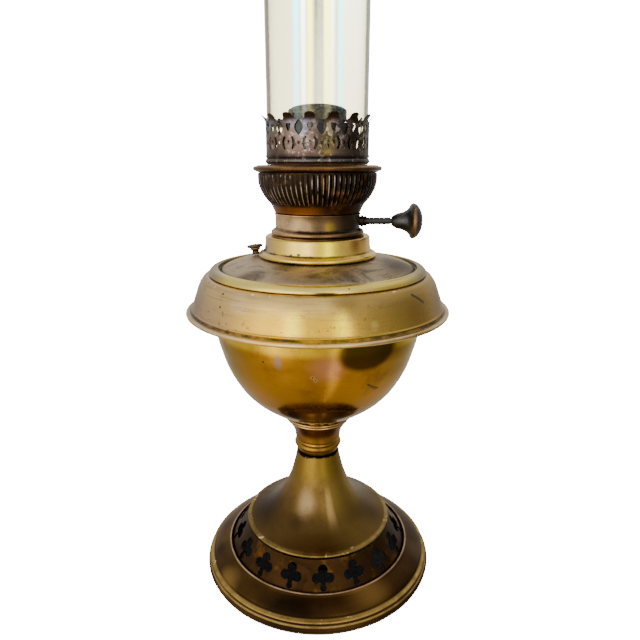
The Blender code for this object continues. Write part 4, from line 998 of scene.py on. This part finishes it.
def basket_mesh():
    """Slotted basket: every slot has a ribbed bar beside it."""
    line = [(23.1, 213.9)]
    line += curve([(23.3, 214.6), (24.0, 216.2), (25.1, 218.2), (26.6, 220.2), (28.1, 222.2), (29.4, 224.4),
                   (30.3, 226.6), (30.9, 228.9), (31.1, 231.2), (31.1, 233.4)], 2)
    line += [(31.2, 233.9)]
    inside = offset(line, 0.45)
    parts = 4
    steps = SLOTS * parts
    pitch = 2 * pi / SLOTS
    slot_share = 0.3
    angles = []
    for k in range(SLOTS):
        start = k * pitch + radians(1.5)
        angles += [start, start + slot_share * pitch, start + (slot_share + 0.35) * pitch,
                   start + (slot_share + 0.55) * pitch]
    rows = len(line) - 1
    first = next(i for i, point in enumerate(line) if point[1] > 218.9)
    last = next(i for i, point in enumerate(line) if point[1] > 232.6) - 1
    bm = bmesh.new()

    def bulge(step, row):
        ribbed = first <= row <= last + 1
        return 0.32 if ribbed and step % parts in (2, 3) else 0.0

    outer = [[bm.verts.new(((r + bulge(i, k)) * cos(a) * MM, (r + bulge(i, k)) * sin(a) * MM, z * MM))
              for i, a in enumerate(angles)] for k, (r, z) in enumerate(line)]
    slant = 0.3 * pitch
    inner = [[bm.verts.new((r * cos(a + slant) * MM, r * sin(a + slant) * MM, z * MM)) for a in angles]
             for r, z in inside]
    for i in range(steps):
        j = (i + 1) % steps
        slotted = i % parts == 0
        for k in range(rows):
            if not (slotted and first <= k <= last):
                bm.faces.new((outer[k][i], outer[k][j], outer[k + 1][j], outer[k + 1][i]))
                bm.faces.new((inner[k][j], inner[k][i], inner[k + 1][i], inner[k + 1][j]))
            else:
                bm.faces.new((outer[k][i], inner[k][i], inner[k + 1][i], outer[k + 1][i]))
                bm.faces.new((inner[k][j], outer[k][j], outer[k + 1][j], inner[k + 1][j]))
        bm.faces.new((outer[0][j], outer[0][i], inner[0][i], inner[0][j]))
        bm.faces.new((outer[rows][i], outer[rows][j], inner[rows][j], inner[rows][i]))
        if slotted:
            low, high = first, last + 1
            bm.faces.new((outer[low][i], outer[low][j], inner[low][j], inner[low][i]))
            bm.faces.new((outer[high][j], outer[high][i], inner[high][i], inner[high][j]))
    return mesh_from(bm, "air_basket")


def along_x(name, section, segments, x, material, body, node):
    """Turned piece on the winder's axis, heights measured outwards from x."""
    mesh = lathe(name, section, segments)
    mesh.transform(Matrix.Translation((x * MM, 0, SHAFT_Z * MM)) @ Matrix.Rotation(pi / 2, 4, "Y"))
    return link(name, mesh, material, body, [node])


def build_winder():
    """Shaft and knob."""
    black = knob_material()
    shaft = [(0, 0.1), (1.1, 0.1), (1.1, 2.2), (1.88, 2.2), (1.88, 20.0), (1.3, 20.1), (1.3, 25.1),
             (0, 25.1)]
    along_x("shaft", shaft, 40, 19.2, black, "winder", "winder_shaft")
    back = [(1.65, 0.0), (2.3, 0.0)] + curve([
            (2.6, 0.4), (3.3, 1.4), (4.0, 2.8), (4.5, 4.6), (5.0, 6.4), (5.8, 8.0), (7.2, 9.4), (8.6, 10.2),
            (9.3, 10.7)], 4)
    face = curve([(9.55, 11.3), (9.45, 12.1), (8.9, 13.1), (7.4, 14.6), (5.2, 15.8), (2.6, 16.4),
                  (0, 16.55)], 4)
    along_x("knob", [(0, 6.4), (1.65, 6.4)] + back + face, 64, 39.9, black, "winder", "winder_knob")


# ---------------------------------------------------------------- gallery, chimney, spreader

def mirrored(right):
    """Closed outline from its right half, first and last point on or beside the middle line."""
    left = [(-u, v) for u, v in reversed(right) if abs(u) > 1e-6]
    return right + left


def gallery_mesh():
    """Pierced gallery with fingers, drops, crescents and dots."""
    r, foot, throat = 26.75, 238.35, 258.5
    section = [(23.3, foot - 0.4), (26.3, foot - 0.4)] + arc(25.9, foot + 1.4, 1.35, -60, 70, 8)
    section += [(26.75, foot + 3.0), (27.0, foot + 3.6), (27.0, foot + 4.1), (26.75, foot + 4.6)]
    section += [(r, z) for z in (244.5, 247.0, 250.0, 253.0, 256.0, 258.0)]
    section += [(r + 0.1, 258.9), (r + 0.45, 259.7), (r + 1.0, 260.6), (r + 1.6, 261.4), (r + 2.05, 261.95)]
    inner = [(r + 1.75, 262.05), (r + 1.25, 261.5), (r + 0.65, 260.75), (r + 0.1, 259.85), (r - 0.3, 259.0),
             (r - 0.4, 258.0), (r - 0.4, 250.0), (r - 0.4, 243.0), (r - 0.4, foot + 0.7), (23.3, foot + 0.7)]
    mesh = lathe("gallery_wall", section + inner, 180)
    gap = mirrored([(0, -6.9), (0.9, -6.0), (1.75, -4.8), (2.3, -3.5), (2.15, -2.3), (1.4, -1.1),
                    (0.7, -0.35), (0.55, 0.0), (0.95, 0.15), (2.0, 0.35), (2.8, 0.85), (3.25, 1.6),
                    (3.35, 2.2), (3.6, 2.75), (4.2, 3.15), (5.2, 3.42), (5.3, 5.5)])
    drop = mirrored([(0, -5.3), (0.7, -4.3), (1.3, -3.2), (1.5, -2.3), (1.2, -1.5), (0.6, -1.2), (0, -1.55)])
    crescent = [(2.0, -7.1), (3.0, -7.9), (3.7, -9.3), (3.8, -10.9), (3.3, -12.4), (2.3, -13.6),
                (1.7, -13.0), (2.15, -11.7), (2.25, -10.3), (2.05, -9.0), (1.5, -7.9)]
    comma = [(-0.6, -9.6), (-0.2, -9.0), (0.4, -9.1), (0.7, -9.7), (0.6, -10.4), (0.1, -11.0), (0.1, -10.2)]

    def outward(angle):
        return radial_place(angle, r - 3, throat)

    cutters = bmesh.new()
    step = 2 * pi / FINGERS
    for i in range(FINGERS):
        azimuth = radians(-7.4) + step * i
        between = azimuth + step / 2
        prism(cutters, gap, outward(between), 8)
        prism(cutters, arc(0, -10.2, 0.8, 0, 330, 11), outward(between), 6)
        for hole in (drop, crescent, [(-u, v) for u, v in reversed(crescent)], comma):
            prism(cutters, hole, outward(azimuth), 6)
    return cut(mesh, cutters)


def build_top():
    """Gallery, chimney and flame spreader."""
    stained = brass("gallery_brass", (0.42, 0.29, 0.225), (0.255, 0.173, 0.133), (0.06, 0.039, 0.031), 0.32,
                    85, extra=gallery_extra)
    link("gallery_wall", gallery_mesh(), stained, "gallery", ["gallery"], 35)

    low, high, outer, inner = 239.4, 479.4, 26.0, 24.2
    section = arc(outer - 0.5, low + 0.5, 0.5, -90, 0, 4) + [(outer, z) for z in range(250, 476, 15)]
    section += arc(outer - 0.9, high - 0.9, 0.9, 0, 180, 10)
    section += [(inner, z) for z in range(475, 249, -15)] + arc(inner + 0.5, low + 0.5, 0.5, 180, 270, 4)
    turned("glass_chimney", section, 128, glass_material(), "chimney", "chimney")

    tin = tin_material()
    sleeve, seat = 13.15, 259.1
    outer_line = [(sleeve, 246.0), (sleeve, seat - 0.3), (14.7, seat), (15.0, seat + 0.3)]
    outer_line += [(15.0, z / 10) for z in range(2600, 2641, 10)] + arc(14.2, 264.3, 0.85, 0, 60, 4)
    outer_line += curve([(14.0, 265.3), (12.4, 266.2), (8.0, 267.2), (3.0, 267.7), (0, 267.8)], 4)
    inner_line = [(0, 267.2), (8.0, 266.6), (12.0, 265.6), (14.2, 264.4), (14.4, 259.8), (12.55, 259.4),
                  (12.55, 246.0)]
    mesh = lathe("spreader_thimble", outer_line + inner_line, 96)
    cutters = bmesh.new()
    for row, z in enumerate((260.8, 262.3, 263.8)):
        for i in range(24):
            place = radial_place(2 * pi * (i + 0.5 * (row % 2)) / 24, 13.5, z)
            prism(cutters, arc(0, 0, 0.45, 0, 315, 7), place, 3)
    link("spreader_thimble", cut(mesh, cutters), tin, "spreader", ["flame_spreader"], 35)


# ---------------------------------------------------------------- pieces kept from the frame

def dress(node, material):
    """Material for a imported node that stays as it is."""
    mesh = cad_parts[node].data
    mesh.materials.clear()
    mesh.materials.append(material)


def dress_frame():
    """Materials of the pieces inside the lamp."""
    steel = steel_material()
    for node in ("air_tube", "foot_nut", "bowl_nut", "winder_pinion", "wick_carrier"):
        dress(node, steel)
    dress("wick", cotton_material())
    dress("cap_washer", cork_material())


# ---------------------------------------------------------------- stage

def build_floor():
    """Pale floor, seen by the camera only, so that it adds no colour to the brass, with a painted dark
    shadow under the foot.
    """
    bm = bmesh.new()
    bmesh.ops.create_grid(bm, x_segments=1, y_segments=1, size=40.0)
    mesh = bpy.data.meshes.new("floor")
    bm.to_mesh(mesh)
    bm.free()
    floor = bpy.data.objects.new("floor", mesh)
    floor.location = (0, 0, -0.4 * MM)
    bpy.context.scene.collection.objects.link(floor)
    pale = Shader("pale_floor", (0.93, 0.93, 0.93), 0.85, 0.0)
    # painted shadow: dark and unlit inside the foot's radius
    outside_painted_shadow = pale.span(pale.radius(), 0.065, 0.0672)
    pale.set(specular_ior_level=0.0, base_color=pale.mix(outside_painted_shadow, (0.02, 0.018, 0.015), (0.9, 0.9, 0.9)),
             emission_color=(1.0, 1.0, 1.0), emission_strength=pale.times(outside_painted_shadow, BACKDROP))
    mesh.materials.append(pale.material)
    floor.visible_glossy = False
    floor.visible_diffuse = False
    floor.visible_transmission = False


def build_room():
    """Surroundings: a white backdrop for the camera and a soft, uneven studio for the reflections."""
    world = bpy.data.worlds.new("studio")
    bpy.context.scene.world = world
    world.use_nodes = True
    room = Nodes(world.node_tree, "Generated")
    x, y, z = room.xyz()
    by_height = room.ramp(
        room.span(z, -1, 1, smooth=False),
        (0.0, (0.36, 0.31, 0.24)), (0.15, (0.52, 0.46, 0.36)), (0.25, (0.64, 0.58, 0.47)),
        (0.36, (0.92, 0.88, 0.8)), (0.5, (0.95, 0.93, 0.88)), (0.69, (1.0, 0.98, 0.94)),
        (0.85, (0.8, 0.8, 0.8)), (1.0, (0.62, 0.63, 0.66)))
    azimuth = room.math("ARCTAN2", x, room.times(y, -1.0))
    tones = ((-180, 0.26), (-135, 0.17), (-95, 0.19), (-72, 0.27), (-57, 0.56), (-48, 0.75), (-39, 0.56),
             (-22, 0.31), (-7, 0.26), (14, 0.23), (40, 0.14), (60, 0.13), (80, 0.08), (100, 0.07),
             (135, 0.17), (180, 0.26))
    by_azimuth = room.ramp(room.span(azimuth, -pi, pi, smooth=False),
                           *(((angle + 180) / 360, (tone, tone, tone)) for angle, tone in tones))
    steep = room.span(room.math("ABSOLUTE", z), 0.4, 0.9)
    by_azimuth = room.mix(steep, by_azimuth, (0.32, 0.32, 0.32))
    light = room.mix(1.0, by_height, by_azimuth, "MULTIPLY")
    window = room.band(azimuth, radians(23), radians(4), radians(6))
    window = room.times(window, room.span(z, -0.35, 0.15, 0.25, 1.0))
    window = room.times(window, room.span(z, 0.55, 0.8, 1.0, 0.0))
    light = room.mix(window, light, (0.8, 0.78, 0.7))
    gleam = room.band(azimuth, radians(-23), radians(5), radians(7))
    gleam = room.times(gleam, room.span(z, -0.45, -0.2))
    gleam = room.times(gleam, room.span(z, 0.36, 0.52, 1.0, 0.0))
    light = room.mix(gleam, light, (1.0, 0.97, 0.9))
    path = room.tree.nodes.new("ShaderNodeLightPath")
    straight = room.math("LESS_THAN", path.outputs["Glossy Depth"], 0.5)
    through = room.times(path.outputs["Is Transmission Ray"], straight)
    light = room.mix(through, light, (BEHIND_GLASS / ROOM,) * 3)
    light = room.mix(path.outputs["Is Camera Ray"], light, (BACKDROP / ROOM,) * 3)
    background = room.tree.nodes["Background"]
    room.put(background.inputs["Color"], light)
    background.inputs["Strength"].default_value = ROOM


def build_lights():
    """Two soft area lights that shape the dark and matt pieces."""
    for name, azimuth, height, distance, size, power in (
            ("key", -40, 0.7, 1.15, 0.8, 5.0), ("back", 170, 0.95, 1.2, 0.9, 4.0)):
        data = bpy.data.lights.new(name, "AREA")
        data.shape = "SQUARE"
        data.size = size
        data.energy = power
        data.color = (1.0, 0.98, 0.94)
        lamp = bpy.data.objects.new(name, data)
        where = Vector((sin(radians(azimuth)) * distance, -cos(radians(azimuth)) * distance, height))
        lamp.location = where
        lamp.rotation_euler = (Vector((0, 0, 0.18)) - where).to_track_quat("-Z", "Y").to_euler()
        lamp.visible_glossy = False
        lamp.visible_transmission = False
        bpy.context.scene.collection.objects.link(lamp)


def build_camera():
    """Camera at the height of the lamp's upper half, looking slightly down."""
    data = bpy.data.cameras.new("camera")
    data.lens = LENS
    data.sensor_width = 36.0
    data.clip_start = 0.01
    camera = bpy.data.objects.new("camera", data)
    camera.location = Vector(EYE) * MM
    camera.rotation_euler = (radians(90 - PITCH_DEG), 0, 0)
    bpy.context.scene.collection.objects.link(camera)
    bpy.context.scene.camera = camera


build_foot()
build_weight()
build_bowl()
build_font()
build_burner()
build_winder()
build_top()
dress_frame()
build_floor()
build_room()
build_lights()
build_camera()
